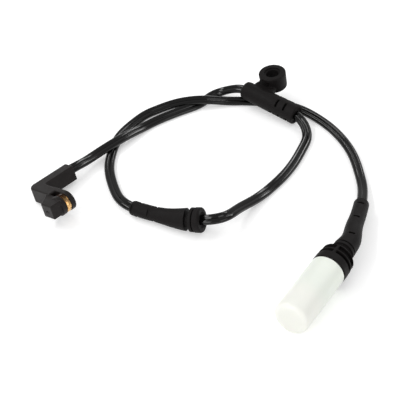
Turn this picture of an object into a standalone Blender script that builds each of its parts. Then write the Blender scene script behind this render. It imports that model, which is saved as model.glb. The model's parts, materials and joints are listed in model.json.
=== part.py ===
"""Brake pad wear sensor: sensing head, twin cable, two rubber grommets and a capped plug.

Metres, +Z up. The sensor lies on the plane z = 0, and the origin is the middle of the footprint of
its rigid pieces. One cable runs from the head through both grommets into the plug.
"""

import math

import bmesh
import bpy
from mathutils import Matrix, Vector

# Fit of one piece in or on another
FIT = 0.0003

# Twin cable: two cores side by side
CORE_DIAMETER = 0.0025
CABLE_WIDTH = 2 * CORE_DIAMETER
CABLE_POINTS = 79
CABLE_STEP = 0.0120
CABLE_TURN = math.radians(19)

# Sensing head, an L: the arm takes the cable, the leg carries the flange and the nose
HEAD_CORNER = Vector((-0.0849, -0.0030, 0.0))
HEAD_HEADING = math.radians(47.5)
HEAD_PITCH = math.radians(2.0)
HEAD_ROLL = math.radians(17.0)
ARM_LENGTH = 0.0256
ARM_WIDTH = 0.0067
ARM_HEIGHT = 0.0082
CORNER_RADIUS = 0.0040
INNER_RADIUS = 0.0012
LEG_DEPTH = 0.0066
LEG_BACK = 0.0062
HEAD_EDGE = 0.0006
SOCKET_DEPTH = 0.0115
CABLE_LEVELS = 0.0250
FLANGE_REACH = 0.0243
FLANGE_RADIUS = 0.0053
FLANGE_PROUD = 0.0002
FLANGE_THICKNESS = 0.0027
FLANGE_BACK = 0.0068
GROOVE_WIDTH = 0.0029
GROOVE_RADIUS = 0.0040
RIM_RADIUS = 0.0051
RIM_THICKNESS = 0.0026
NOSE_WIDTH = 0.0082
NOSE_HEIGHT = 0.0074
NOSE_LENGTH = 0.0058
NOSE_LIFT = 0.0007
NOSE_MARK_WIDTH = 0.0022
NOSE_MARK_HEIGHT = 0.0009
NOSE_MARK_DEPTH = 0.0005

# Spring clip round the groove's core
CLIP_THICKNESS = 0.00035
CLIP_WIDTH = 0.0024
CLIP_FACET = math.radians(26)
CLIP_FACETS = 9
CLIP_START = math.radians(-75)

# Sensing loop: one insulated wire from core to core, turned back behind the nose's face
LOOP_DIAMETER = 0.0012
LOOP_SPREAD = 0.0022
LOOP_COVER = 0.0012

# Tee grommet with its eyelet
TEE_INLET = Vector((0.0259, 0.0859, 0.0089))
TEE_HEADING = math.radians(-38.3)
TEE_PITCH = math.radians(-3.4)
TEE_LENGTH = 0.0360
TEE_INLET_RADIUS = 0.0052
TEE_OUTLET_RADIUS = 0.0057
TEE_RECESS_RADIUS = 0.0046
TEE_RECESS_DEPTH = 0.0012
EYELET_ALONG = 0.0104
EYELET_OUT = 0.0124
EYELET_UP = 0.0057
EYELET_RADIUS = 0.0077
EYELET_HEIGHT = 0.0094
EYELET_BORE = 0.0036
EYELET_STEP_RADIUS = 0.0046
EYELET_STEP_DEPTH = 0.0010
EYELET_LEAN = Vector((-0.147, -0.047, 0.988))
EYELET_FLANGE = 0.0022
EYELET_GROOVE_HEIGHT = 0.0026
EYELET_GROOVE_RADIUS = 0.0058
NECK_LENGTH = 0.0120
NECK_DROP = 0.0004

# Relief slots of the three rubber mouldings
SLOT_WIDTH = 0.0011
SLOT_SPAN = 0.0046
TEE_SLOT_DEPTH = 0.0019
TEE_SLOTS = (0.0243, 0.0295)
TEE_SIDE_SLOTS = (0.0217, 0.0270, 0.0321)
TEE_SLOT_TURN = math.radians(38)
SLEEVE_SLOT_DEPTH = 0.0008
SLEEVE_SLOTS = (0.0275, 0.0364)
SLEEVE_SIDE_SLOTS = (0.0248, 0.0337)
SLEEVE_SLOT_TURN = math.radians(-52)
BOOT_SLOT_DEPTH = 0.0018
BOOT_SLOTS = (0.0040, 0.0146, 0.0265)
BOOT_SIDE_SLOTS = (0.0093, 0.0206)
BOOT_SLOT_TURN = 0.0

# Sleeve grommet, bent along the cable
SLEEVE_LENGTH = 0.0392
SLEEVE_RADIUS = 0.0038
SLEEVE_END_RADIUS = 0.0057
SLEEVE_GROOVE_AT = 0.0071
SLEEVE_GROOVE_WIDTH = 0.0016
SLEEVE_GROOVE_RADIUS = 0.0044
SLEEVE_RECESS_RADIUS = 0.0041
SLEEVE_RECESS_DEPTH = 0.0014

# Plug: bend relief boot and collar in one moulding, measured back from the collar's face
COLLAR_FACE = Vector((0.0589, -0.0626, 0.0))
COLLAR_HEADING = math.radians(-122.35)
COLLAR_RADIUS = 0.0086
COLLAR_RIM = 0.0044
WINDOW_FRONT = 0.0019
WINDOW_REAR = 0.0028
WINDOW_RIB = 0.0008
WINDOW_FLOOR_RADIUS = 0.0064
WINDOW_PILLAR = 0.0013
SHOULDER_LENGTH = 0.0020
SHOULDER_RADIUS = 0.0064
GROOVE_FRONT = 0.0030
GROOVE_REAR = 0.0009
GROOVE_CORE_RADIUS = 0.0048
RING_LENGTH = 0.0016
BOOT_RADIUS = 0.0056
BOOT_LENGTH = 0.0400
BOOT_TIP_RADIUS = 0.0039

# Plug insert with its two contacts, measured from the collar's face
INSERT_RADIUS = 0.0067
INSERT_NOSE = 0.0220
INSERT_FLANGE = 0.0029
INSERT_REAR = 0.0085
INSERT_REAR_RADIUS = 0.0042
HOOD_RADIUS = 0.0052
HOOD_DEPTH = 0.0140
CONTACT_SPACING = 0.0046
CONTACT_RADIUS = 0.00075
CONTACT_REACH = 0.0190
BARREL_RADIUS = 0.00125
BARREL_LENGTH = 0.0047
WIRE_SEAL_LENGTH = 0.0028
WIRE_RADIUS = 0.00105
JACKET_END = 0.0238
CHAMBER_RADIUS = 0.0034
SEAL_AT = 0.0030
SEAL_WIDTH = 0.0022
SEAL_THICKNESS = 0.0009

# Dust cap pushed over the insert
CAP_LENGTH = 0.0362
CAP_RADIUS = 0.0085
CAP_DRAFT = 0.0002
CAP_WALL = 0.0015
CAP_CORNER = 0.0022

# Hand-chosen route of the cable between its pieces
HEAD_TO_TEE = [
    (-0.0592, 0.0237, 0.0049), (-0.0551, 0.0297, 0.0048), (-0.0436, 0.0429, 0.0047),
    (-0.0276, 0.0619, 0.0016), (-0.0121, 0.0734, 0.0013), (0.0004, 0.0814, 0.0013),
    (0.0074, 0.0904, 0.0015), (0.0119, 0.0919, 0.0030), (0.0219, 0.0881, 0.0081),
]
TEE_TO_SLEEVE = [
    (0.0564, 0.0614, 0.0050), (0.0584, 0.0579, 0.0039), (0.0593, 0.0499, 0.0016),
    (0.0549, 0.0374, 0.0013), (0.0504, 0.0269, 0.0013), (0.0439, 0.0154, 0.0013),
    (0.0354, 0.0039, 0.0017), (0.0279, -0.0056, 0.0032), (0.0204, -0.0150, 0.0062),
    (0.0129, -0.0257, 0.0095), (0.0070, -0.0282, 0.0098),
]
THROUGH_SLEEVE = [
    (0.0026, -0.0269, 0.0083), (-0.0034, -0.0249, 0.0067), (-0.0151, -0.0211, 0.0051),
    (-0.0346, -0.0116, 0.0039),
]
SLEEVE_TO_BOOT = [
    (-0.0389, -0.0069, 0.0033), (-0.0419, -0.0006, 0.0021), (-0.0469, 0.0179, 0.0013),
    (-0.0476, 0.0289, 0.0013), (-0.0442, 0.0492, 0.0013), (-0.0352, 0.0659, 0.0013),
    (-0.0288, 0.0722, 0.0014), (-0.0141, 0.0799, 0.0032), (-0.0001, 0.0819, 0.0048),
    (0.0209, 0.0842, 0.0016), (0.0394, 0.0829, 0.0014), (0.0499, 0.0799, 0.0013),
    (0.0596, 0.0744, 0.0013), (0.0734, 0.0577, 0.0013), (0.0819, 0.0374, 0.0013),
    (0.0846, 0.0144, 0.0016), (0.0842, 0.0039, 0.0026),
]
THROUGH_BOOT = [(0.0815, -0.0092, 0.0047), (0.0784, -0.0203, 0.0060), (0.0748, -0.0311, 0.0074)]


def clear_scene():
    """Remove what the startup scene holds."""
    for obj in list(bpy.data.objects):
        bpy.data.objects.remove(obj)


def collection(name):
    """A new collection in the scene."""
    made = bpy.data.collections.new(name)
    bpy.context.scene.collection.children.link(made)
    return made


def material(name, colour, roughness, metallic=0.0):
    """A Principled BSDF material."""
    made = bpy.data.materials.new(name)
    made.use_nodes = True
    shader = made.node_tree.nodes["Principled BSDF"]
    shader.inputs["Base Color"].default_value = (*colour, 1.0)
    shader.inputs["Roughness"].default_value = roughness
    shader.inputs["Metallic"].default_value = metallic
    return made


def show(obj, finish):
    """Put a piece in the part's collection and give it its material."""
    SENSOR.objects.link(obj)
    obj.data.materials.clear()
    obj.data.materials.append(finish)
    return obj


def tool(obj):
    """Keep a cutter, guide or joined shape out of the part."""
    TOOLS.objects.link(obj)
    obj.hide_render = True
    obj.display_type = "WIRE"
    return obj


def placed(obj, matrix):
    """Give an object its place."""
    obj.matrix_world = matrix
    return obj


def as_mesh(obj):
    """The mesh object of an evaluated curve or modified mesh, with its caps welded."""
    TOOLS.objects.link(obj)
    bpy.context.view_layer.update()
    evaluated = obj.evaluated_get(bpy.context.evaluated_depsgraph_get())
    mesh = bpy.data.meshes.new_from_object(evaluated)
    work = bmesh.new()
    work.from_mesh(mesh)
    bmesh.ops.remove_doubles(work, verts=work.verts, dist=1e-6)
    bmesh.ops.recalc_face_normals(work, faces=work.faces)
    work.to_mesh(mesh)
    work.free()
    mesh.shade_smooth()
    mesh.set_sharp_from_angle(angle=math.radians(40))
    made = bpy.data.objects.new(obj.name, mesh)
    made.matrix_world = obj.matrix_world.copy()
    name = obj.name
    bpy.data.objects.remove(obj)
    made.name = name
    return made


def boolean(obj, other, operation="DIFFERENCE"):
    """Cut an object with another, or join another to it."""
    step = obj.modifiers.new(other.name, "BOOLEAN")
    step.operation = operation
    step.solver = "EXACT"
    step.object = other
    return obj


def rounded(obj, width, segments=2):
    """Round the sharp edges of a mesh."""
    step = obj.modifiers.new("round", "BEVEL")
    step.width = width
    step.segments = segments
    step.limit_method = "ANGLE"
    step.angle_limit = math.radians(50)
    return obj


def turned(name, profile, steps=32, closed=False):
    """A shape turned about its own Z axis.

    The profile holds (radius, height) pairs down its outer side, and a closed one is a ring's section.
    """
    mesh = bpy.data.meshes.new(name)
    edges = [(i, i + 1) for i in range(len(profile) - 1)]
    if closed:
        edges.append((len(profile) - 1, 0))
    mesh.from_pydata([(radius, 0.0, height) for radius, height in profile], edges, [])
    obj = bpy.data.objects.new(name, mesh)
    screw = obj.modifiers.new("turn", "SCREW")
    screw.steps = screw.render_steps = steps
    screw.use_merge_vertices = True
    screw.merge_threshold = 1e-6
    screw.use_smooth_shade = True
    return obj


def outline(name, points, thickness):
    """A flat closed outline in its own XY plane, thickened equally to both sides."""
    data = bpy.data.curves.new(name, "CURVE")
    data.dimensions = "2D"
    data.fill_mode = "BOTH"
    data.extrude = thickness / 2
    spline = data.splines.new("POLY")
    spline.points.add(len(points) - 1)
    for point, (x, y) in zip(spline.points, points):
        point.co = (x, y, 0.0, 1.0)
    spline.use_cyclic_u = True
    made = as_mesh(bpy.data.objects.new(name, data))
    return made


def block(name, low, high):
    """A box between two corners."""
    work = bmesh.new()
    bmesh.ops.create_cube(work, size=1.0)
    size = Vector(high) - Vector(low)
    bmesh.ops.scale(work, vec=size, verts=work.verts)
    bmesh.ops.translate(work, vec=(Vector(high) + Vector(low)) / 2, verts=work.verts)
    mesh = bpy.data.meshes.new(name)
    work.to_mesh(mesh)
    work.free()
    return bpy.data.objects.new(name, mesh)


def arc(centre, radius, start, end, steps):
    """Points along an arc, its angles in radians."""
    turn = [start + (end - start) * i / steps for i in range(steps + 1)]
    return [(centre[0] + radius * math.cos(a), centre[1] + radius * math.sin(a)) for a in turn]


def obround(width, height, steps=5):
    """The outline of a slot with round ends, its long side along X."""
    reach = (width - height) / 2
    right = arc((reach, 0.0), height / 2, -math.pi / 2, math.pi / 2, steps)
    left = arc((-reach, 0.0), height / 2, math.pi / 2, 3 * math.pi / 2, steps)
    return right + left


def line_of(name, points, radii=None, resolution=2):
    """A curve object on straight pieces, round in section."""
    data = bpy.data.curves.new(name, "CURVE")
    data.dimensions = "3D"
    data.use_fill_caps = True
    data.bevel_resolution = resolution
    spline = data.splines.new("POLY")
    spline.points.add(len(points) - 1)
    for point, place in zip(spline.points, points):
        point.co = (*place, 1.0)
    if radii:
        data.bevel_depth = radii[0]
        for point, radius in zip(spline.points, radii):
            point.radius = radius / radii[0]
    return bpy.data.objects.new(name, data)


def flat_line(name, points, width, height, tilts):
    """A curve object with the section of the twin cable."""
    shape = bpy.data.curves.new(name + "_section", "CURVE")
    shape.dimensions = "2D"
    spline = shape.splines.new("POLY")
    section = obround(width, height)[::-1]
    spline.points.add(len(section) - 1)
    for point, (x, y) in zip(spline.points, section):
        point.co = (x, y, 0.0, 1.0)
    spline.use_cyclic_u = True
    guide = tool(bpy.data.objects.new(name + "_section", shape))
    obj = line_of(name, points)
    obj.data.twist_mode = "Z_UP"
    obj.data.bevel_mode = "OBJECT"
    obj.data.bevel_object = guide
    for point, tilt in zip(obj.data.splines[0].points, tilts):
        point.tilt = tilt
    return obj


def smooth(points, share=8):
    """A centripetal curve through the points, as many short straight steps."""
    given = [2 * points[0] - points[1], *points, 2 * points[-1] - points[-2]]
    made = []
    for p0, p1, p2, p3 in zip(given, given[1:], given[2:], given[3:]):
        t1 = math.sqrt((p1 - p0).length)
        t2 = t1 + math.sqrt((p2 - p1).length)
        t3 = t2 + math.sqrt((p3 - p2).length)
        for i in range(share):
            t = t1 + (t2 - t1) * i / share
            a1 = p0.lerp(p1, t / t1)
            a2 = p1.lerp(p2, (t - t1) / (t2 - t1))
            a3 = p2.lerp(p3, (t - t2) / (t3 - t2))
            b1 = a1.lerp(a2, t / t2)
            b2 = a2.lerp(a3, (t - t1) / (t3 - t1))
            made.append(b1.lerp(b2, (t - t1) / (t2 - t1)))
    made.append(points[-1].copy())
    return made


class Line:
    """A smooth line through given points, measured along its length."""

    def __init__(self, points, share=8):
        self.share = share
        self.samples = smooth([Vector(p) for p in points], share)
        self.along = [0.0]
        for a, b in zip(self.samples, self.samples[1:]):
            self.along.append(self.along[-1] + (b - a).length)

    def mark(self, index):
        """The length at a given point, counted from 0."""
        return self.along[index * self.share]

    def at(self, length):
        """The place at a length along the line."""
        length = min(max(length, 0.0), self.along[-1])
        for i in range(1, len(self.along)):
            if self.along[i] >= length:
                share = (length - self.along[i - 1]) / (self.along[i] - self.along[i - 1])
                return self.samples[i - 1].lerp(self.samples[i], share)
        return self.samples[-1].copy()

    def way(self, length, reach=0.0004):
        """The direction at a length along the line."""
        return (self.at(length + reach) - self.at(length - reach)).normalized()

    def even(self, start, end, step):
        """Lengths about a step apart from start to end."""
        count = max(1, round((end - start) / step))
        return [start + (end - start) * i / count for i in range(count + 1)]


def axes(place, forward, up=Vector((0, 0, 1))):
    """A frame at a place with its X axis forward and its Z axis as near up as it can be."""
    x = forward.normalized()
    y = up.cross(x).normalized()
    z = x.cross(y)
    return Matrix.Translation(place) @ Matrix((x, y, z)).transposed().to_4x4()


def turned_axes(place, forward, up=Vector((0, 0, 1))):
    """The same frame with its Z axis forward and its X axis up, for turned shapes."""
    return axes(place, forward, up) @ Matrix(((0, 0, 1), (0, -1, 0), (1, 0, 0))).to_4x4()


def heading(turn, pitch=0.0):
    """The direction with a heading from +X and a pitch above the level."""
    return Vector((math.cos(turn) * math.cos(pitch), math.sin(turn) * math.cos(pitch), math.sin(pitch)))


def cut_slots(obj, frame, radius, depth, first_turn, lengths, side_lengths):
    """Cut flat-bottomed relief slots across a tube in opposite pairs.

    The pairs at the first lengths lie at the first turn about the frame's X axis, and those at the side
    lengths a quarter turn from them.
    """
    for quarter in range(4):
        turn = first_turn + quarter * math.pi / 2
        for length in side_lengths if quarter % 2 else lengths:
            low = (length - SLOT_WIDTH / 2, -SLOT_SPAN / 2, radius(length) - depth)
            high = (length + SLOT_WIDTH / 2, SLOT_SPAN / 2, radius(length) + depth)
            cutter = tool(block(f"{obj.name}_slot", low, high))
            placed(cutter, frame(length) @ Matrix.Translation((length, 0, 0))
                   @ Matrix.Rotation(turn, 4, "X") @ Matrix.Translation((-length, 0, 0)))
            boolean(obj, cutter)


# Places that several pieces share

HEAD_WAY = heading(HEAD_HEADING, HEAD_PITCH)
HEAD_SIDE = Vector((math.sin(HEAD_HEADING), -math.cos(HEAD_HEADING), 0.0))
HEAD_UP = HEAD_SIDE.cross(HEAD_WAY)
HEAD_FRAME = (
    Matrix.Translation(HEAD_CORNER)
    @ Matrix((HEAD_SIDE, HEAD_WAY, HEAD_UP)).transposed().to_4x4()
    @ Matrix.Rotation(-HEAD_ROLL, 4, "Y")
)
FLANGE_HEIGHT = ARM_HEIGHT - FLANGE_RADIUS + FLANGE_PROUD
FLANGE_FRONT = FLANGE_BACK - FLANGE_THICKNESS
LEG_REACH = FLANGE_REACH - LEG_BACK
RIM_BACK = FLANGE_FRONT - GROOVE_WIDTH
RIM_FRONT = RIM_BACK - RIM_THICKNESS
NOSE_FACE = RIM_FRONT - NOSE_LENGTH

TEE_WAY = heading(TEE_HEADING, TEE_PITCH)
TEE_OUTLET = TEE_INLET + TEE_LENGTH * TEE_WAY
TEE_FRAME = axes(TEE_INLET, TEE_WAY)

PLUG_WAY = heading(COLLAR_HEADING)
PLUG_PLACE = COLLAR_FACE + Vector((0, 0, COLLAR_RADIUS))
PLUG_FRAME = turned_axes(PLUG_PLACE, PLUG_WAY)
PLUG_SIDE = Vector((-PLUG_WAY.y, PLUG_WAY.x, 0.0))
ROW_FRONT = COLLAR_RIM + WINDOW_FRONT
ROW_REAR = ROW_FRONT + WINDOW_RIB + WINDOW_REAR
SHOULDER_BACK = ROW_REAR + SHOULDER_LENGTH
GROOVE_FRONT_BACK = SHOULDER_BACK + GROOVE_FRONT
RING_BACK = GROOVE_FRONT_BACK + RING_LENGTH
COLLAR_BACK = RING_BACK + GROOVE_REAR


def in_head(x, y, z):
    """A place given in the head's own frame."""
    return HEAD_FRAME @ Vector((x, y, z))


def on_plug(length, side=0.0):
    """A place on the plug's axis, ahead of the collar's face, or beside that axis."""
    return PLUG_PLACE + length * PLUG_WAY + side * PLUG_SIDE


def head_socket(length):
    """A place on the cable's axis, beyond the end of the head's arm."""
    return in_head(ARM_WIDTH / 2, ARM_LENGTH + length, ARM_HEIGHT / 2)


IN_HEAD = [head_socket(-SOCKET_DEPTH + FIT), head_socket(0.0), head_socket(0.5 * CABLE_WIDTH)]
IN_TEE = [TEE_INLET, TEE_INLET.lerp(TEE_OUTLET, 0.5), TEE_OUTLET]
AT_COLLAR = [on_plug(-JACKET_END), on_plug(-COLLAR_BACK)]
ROUTE = IN_HEAD + HEAD_TO_TEE + IN_TEE + TEE_TO_SLEEVE + THROUGH_SLEEVE + SLEEVE_TO_BOOT
ROUTE = ROUTE + THROUGH_BOOT + AT_COLLAR
CABLE = Line(ROUTE)
SLEEVE_START = CABLE.mark(len(IN_HEAD + HEAD_TO_TEE + IN_TEE + TEE_TO_SLEEVE))
CABLE_END = CABLE.mark(len(ROUTE) - 2)
LINE_END = CABLE.mark(len(ROUTE) - 1)


def cable_lengths():
    """Lengths along the cable, closer together where it bends."""
    fine = CABLE.even(0.0, CABLE_END, 0.0006)
    cost = [0.0]
    for a, b in zip(fine, fine[1:]):
        turn = CABLE.way(a).angle(CABLE.way(b))
        cost.append(cost[-1] + (b - a) / CABLE_STEP + turn / CABLE_TURN)
    lengths = []
    i = 0
    for k in range(CABLE_POINTS):
        while i < len(fine) - 1 and cost[i] < cost[-1] * k / (CABLE_POINTS - 1):
            i += 1
        lengths.append(fine[i])
    return lengths


def cable_points():
    """The cable's places and tilts: level everywhere but at the head, where it leaves rolled."""
    lengths = cable_lengths()
    tilts = [-HEAD_ROLL * (1.0 - min(max((at - SOCKET_DEPTH) / CABLE_LEVELS, 0.0), 1.0)) for at in lengths]
    return lengths, [CABLE.at(length) for length in lengths], tilts


def cable_bore(name, start, end):
    """A cutter round the cable from one length to another, with its clearance."""
    lengths, points, tilts = cable_points()
    first = max(i for i, length in enumerate(lengths) if i == 0 or length < start - FIT)
    last = min(i for i, length in enumerate(lengths) if i == len(lengths) - 1 or length > end + FIT)
    kept = range(first, last + 1)
    points = [points[i] for i in kept]
    tilts = [tilts[i] for i in kept]
    cutter = flat_line(name, points, CABLE_WIDTH + 2 * FIT, CORE_DIAMETER + 2 * FIT, tilts)
    return tool(as_mesh(cutter))


def make_cable():
    """The twin cable in one run from the head to the plug."""
    _, points, tilts = cable_points()
    cable = flat_line("twin_cable", points, CABLE_WIDTH, CORE_DIAMETER, tilts)
    return show(cable, CABLE_FINISH)


def loop_points():
    """The sensing wire's places in the head's frame, from one core round to the other."""
    x = ARM_WIDTH / 2
    start = ARM_LENGTH - SOCKET_DEPTH - FIT
    run = 0.72 * LEG_DEPTH
    high = FLANGE_HEIGHT + LOOP_SPREAD / 2
    low = FLANGE_HEIGHT - LOOP_SPREAD / 2
    tip = NOSE_FACE + LOOP_COVER + LOOP_DIAMETER / 2
    core = CORE_DIAMETER / 2
    middle = ARM_HEIGHT / 2
    upper = [
        (x - core, start, middle),
        (x - core, start - 0.25 * (start - run), middle + 0.1 * LOOP_SPREAD),
        (x - 0.3 * core, run + 0.0016, middle + 0.2 * LOOP_SPREAD),
        (x + 2 * core, run, middle + 0.2 * LOOP_SPREAD),
        (0.55 * FLANGE_REACH, run, 0.5 * (middle + high) + 0.2 * LOOP_SPREAD),
        (FLANGE_REACH - 2.4 * LOOP_DIAMETER, run, high),
        (FLANGE_REACH - 0.7 * LOOP_DIAMETER, run - 0.6 * LOOP_DIAMETER, high),
        (FLANGE_REACH, RIM_BACK + 0.6 * GROOVE_WIDTH, high),
        (FLANGE_REACH, RIM_FRONT, high),
        (FLANGE_REACH, tip + 0.5 * LOOP_SPREAD, high),
    ]
    turn = arc((tip + 0.5 * LOOP_SPREAD, FLANGE_HEIGHT), 0.5 * LOOP_SPREAD, math.pi / 2, 3 * math.pi / 2, 4)
    bend = [(FLANGE_REACH, y, z) for y, z in turn[1:-1]]
    lower = [
        (FLANGE_REACH, tip + 0.5 * LOOP_SPREAD, low),
        (FLANGE_REACH, RIM_FRONT, low),
        (FLANGE_REACH, RIM_BACK + 0.6 * GROOVE_WIDTH, low),
        (FLANGE_REACH - 0.7 * LOOP_DIAMETER, run - 0.6 * LOOP_DIAMETER, low),
        (FLANGE_REACH - 2.4 * LOOP_DIAMETER, run, low),
        (0.55 * FLANGE_REACH, run, 0.5 * (middle + low) - 0.3 * LOOP_SPREAD),
        (x + 3 * core, run, middle - 0.7 * LOOP_SPREAD),
        (x + 1.6 * core, run + 0.0012, middle - 0.6 * LOOP_SPREAD),
        (x + core, start - 0.25 * (start - run), middle - 0.1 * LOOP_SPREAD),
        (x + core, start, middle),
    ]
    return upper + bend + lower


def make_loop():
    """The sensing wire and the channel that it fills in the head."""
    line = Line(loop_points(), share=2)
    points = line.samples
    wire = placed(line_of("sensing_loop", points, [LOOP_DIAMETER / 2] * len(points), 1), HEAD_FRAME)
    reach = 4 * FIT * Vector((0.0, 1.0, 0.0))
    longer = [points[0] + reach, *points[1:-1], points[-1] + reach]
    radius = LOOP_DIAMETER / 2 + FIT
    channel = placed(line_of("loop_channel", longer, [radius] * len(longer), 1), HEAD_FRAME)
    return show(wire, LOOP_FINISH), tool(as_mesh(channel))


def make_head(channel):
    """The moulded head: arm, leg, flange, grooved core, rim and nose in one piece."""
    corner = arc((CORNER_RADIUS, CORNER_RADIUS), CORNER_RADIUS, math.pi, 3 * math.pi / 2, 6)
    inner_centre = (ARM_WIDTH + INNER_RADIUS, LEG_DEPTH + INNER_RADIUS)
    inner = arc(inner_centre, INNER_RADIUS, 3 * math.pi / 2, math.pi, 3)
    plan = [*corner, (LEG_REACH, 0.0), (LEG_REACH, LEG_DEPTH), *inner, (ARM_WIDTH, ARM_LENGTH), (0.0, ARM_LENGTH)]
    body = rounded(outline("head_housing", plan, ARM_HEIGHT), HEAD_EDGE)
    placed(body, HEAD_FRAME @ Matrix.Translation((0, 0, ARM_HEIGHT / 2)))
    facing = Matrix.Rotation(math.pi / 2, 4, "X")

    def plate(name, shape, front, back, edge):
        made = outline(name, shape, back - front)
        place = Matrix.Translation((FLANGE_REACH, (front + back) / 2, FLANGE_HEIGHT))
        placed(made, HEAD_FRAME @ place @ facing)
        if edge:
            rounded(made, edge, 1)
        boolean(body, tool(made), "UNION")

    def disc(radius):
        return arc((0.0, 0.0), radius, 0.0, 2 * math.pi * 27 / 28, 27)

    reach = FLANGE_REACH - LEG_REACH + FLANGE_RADIUS / 2
    flange = obround(reach + 2 * FLANGE_RADIUS, 2 * FLANGE_RADIUS, 14)
    flange = [(px - reach / 2, py) for px, py in flange]
    plate("head_flange", flange, FLANGE_FRONT, FLANGE_BACK, 0.5 * HEAD_EDGE)
    plate("head_core", disc(GROOVE_RADIUS), RIM_FRONT + 0.3 * RIM_THICKNESS, FLANGE_BACK - FIT, 0.0)
    plate("head_rim", disc(RIM_RADIUS), RIM_FRONT, RIM_BACK, 0.4 * HEAD_EDGE)
    half = NOSE_WIDTH / 2, NOSE_HEIGHT / 2
    low = NOSE_LIFT - half[1]
    high = NOSE_LIFT + half[1]
    nose = [(-half[0], low), (half[0], low), (half[0], high), (-half[0], high)]
    plate("head_nose", nose, NOSE_FACE, RIM_FRONT + 0.3 * RIM_THICKNESS, 0.8 * HEAD_EDGE)

    boolean(body, cable_bore("head_socket", 0.0, SOCKET_DEPTH))
    boolean(body, channel)
    mark = outline("nose_mark", obround(NOSE_MARK_WIDTH, NOSE_MARK_HEIGHT, 4), 2 * NOSE_MARK_DEPTH)
    spot = Matrix.Translation((FLANGE_REACH, NOSE_FACE, FLANGE_HEIGHT + NOSE_LIFT))
    placed(mark, HEAD_FRAME @ spot @ facing)
    boolean(body, tool(mark))
    return show(body, HEAD_FINISH)


def make_clip():
    """The sprung strip of flat facets that holds the nose in the pad's hole."""
    radius = GROOVE_RADIUS + FIT + CLIP_THICKNESS
    turns = [CLIP_START + CLIP_FACET * i for i in range(CLIP_FACETS + 1)]
    bends = [(radius * math.cos(t) / math.cos(CLIP_FACET / 2), radius * math.sin(t) / math.cos(CLIP_FACET / 2))
             for t in turns]
    work = bmesh.new()
    sides = [[work.verts.new((x, side * CLIP_WIDTH / 2, z)) for x, z in bends] for side in (-1, 1)]
    for i in range(len(bends) - 1):
        work.faces.new((sides[0][i], sides[0][i + 1], sides[1][i + 1], sides[1][i]))
    mesh = bpy.data.meshes.new("spring_clip")
    work.to_mesh(mesh)
    work.free()
    clip = bpy.data.objects.new("spring_clip", mesh)
    thick = clip.modifiers.new("strip", "SOLIDIFY")
    thick.thickness = CLIP_THICKNESS
    thick.offset = 0.0
    middle = (FLANGE_FRONT + RIM_BACK) / 2
    placed(clip, HEAD_FRAME @ Matrix.Translation((FLANGE_REACH, middle, FLANGE_HEIGHT)))
    return show(clip, CLIP_FINISH)


def tee_radius(length):
    """The tee's radius at a length from its inlet end."""
    return TEE_INLET_RADIUS + (TEE_OUTLET_RADIUS - TEE_INLET_RADIUS) * length / TEE_LENGTH


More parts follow.
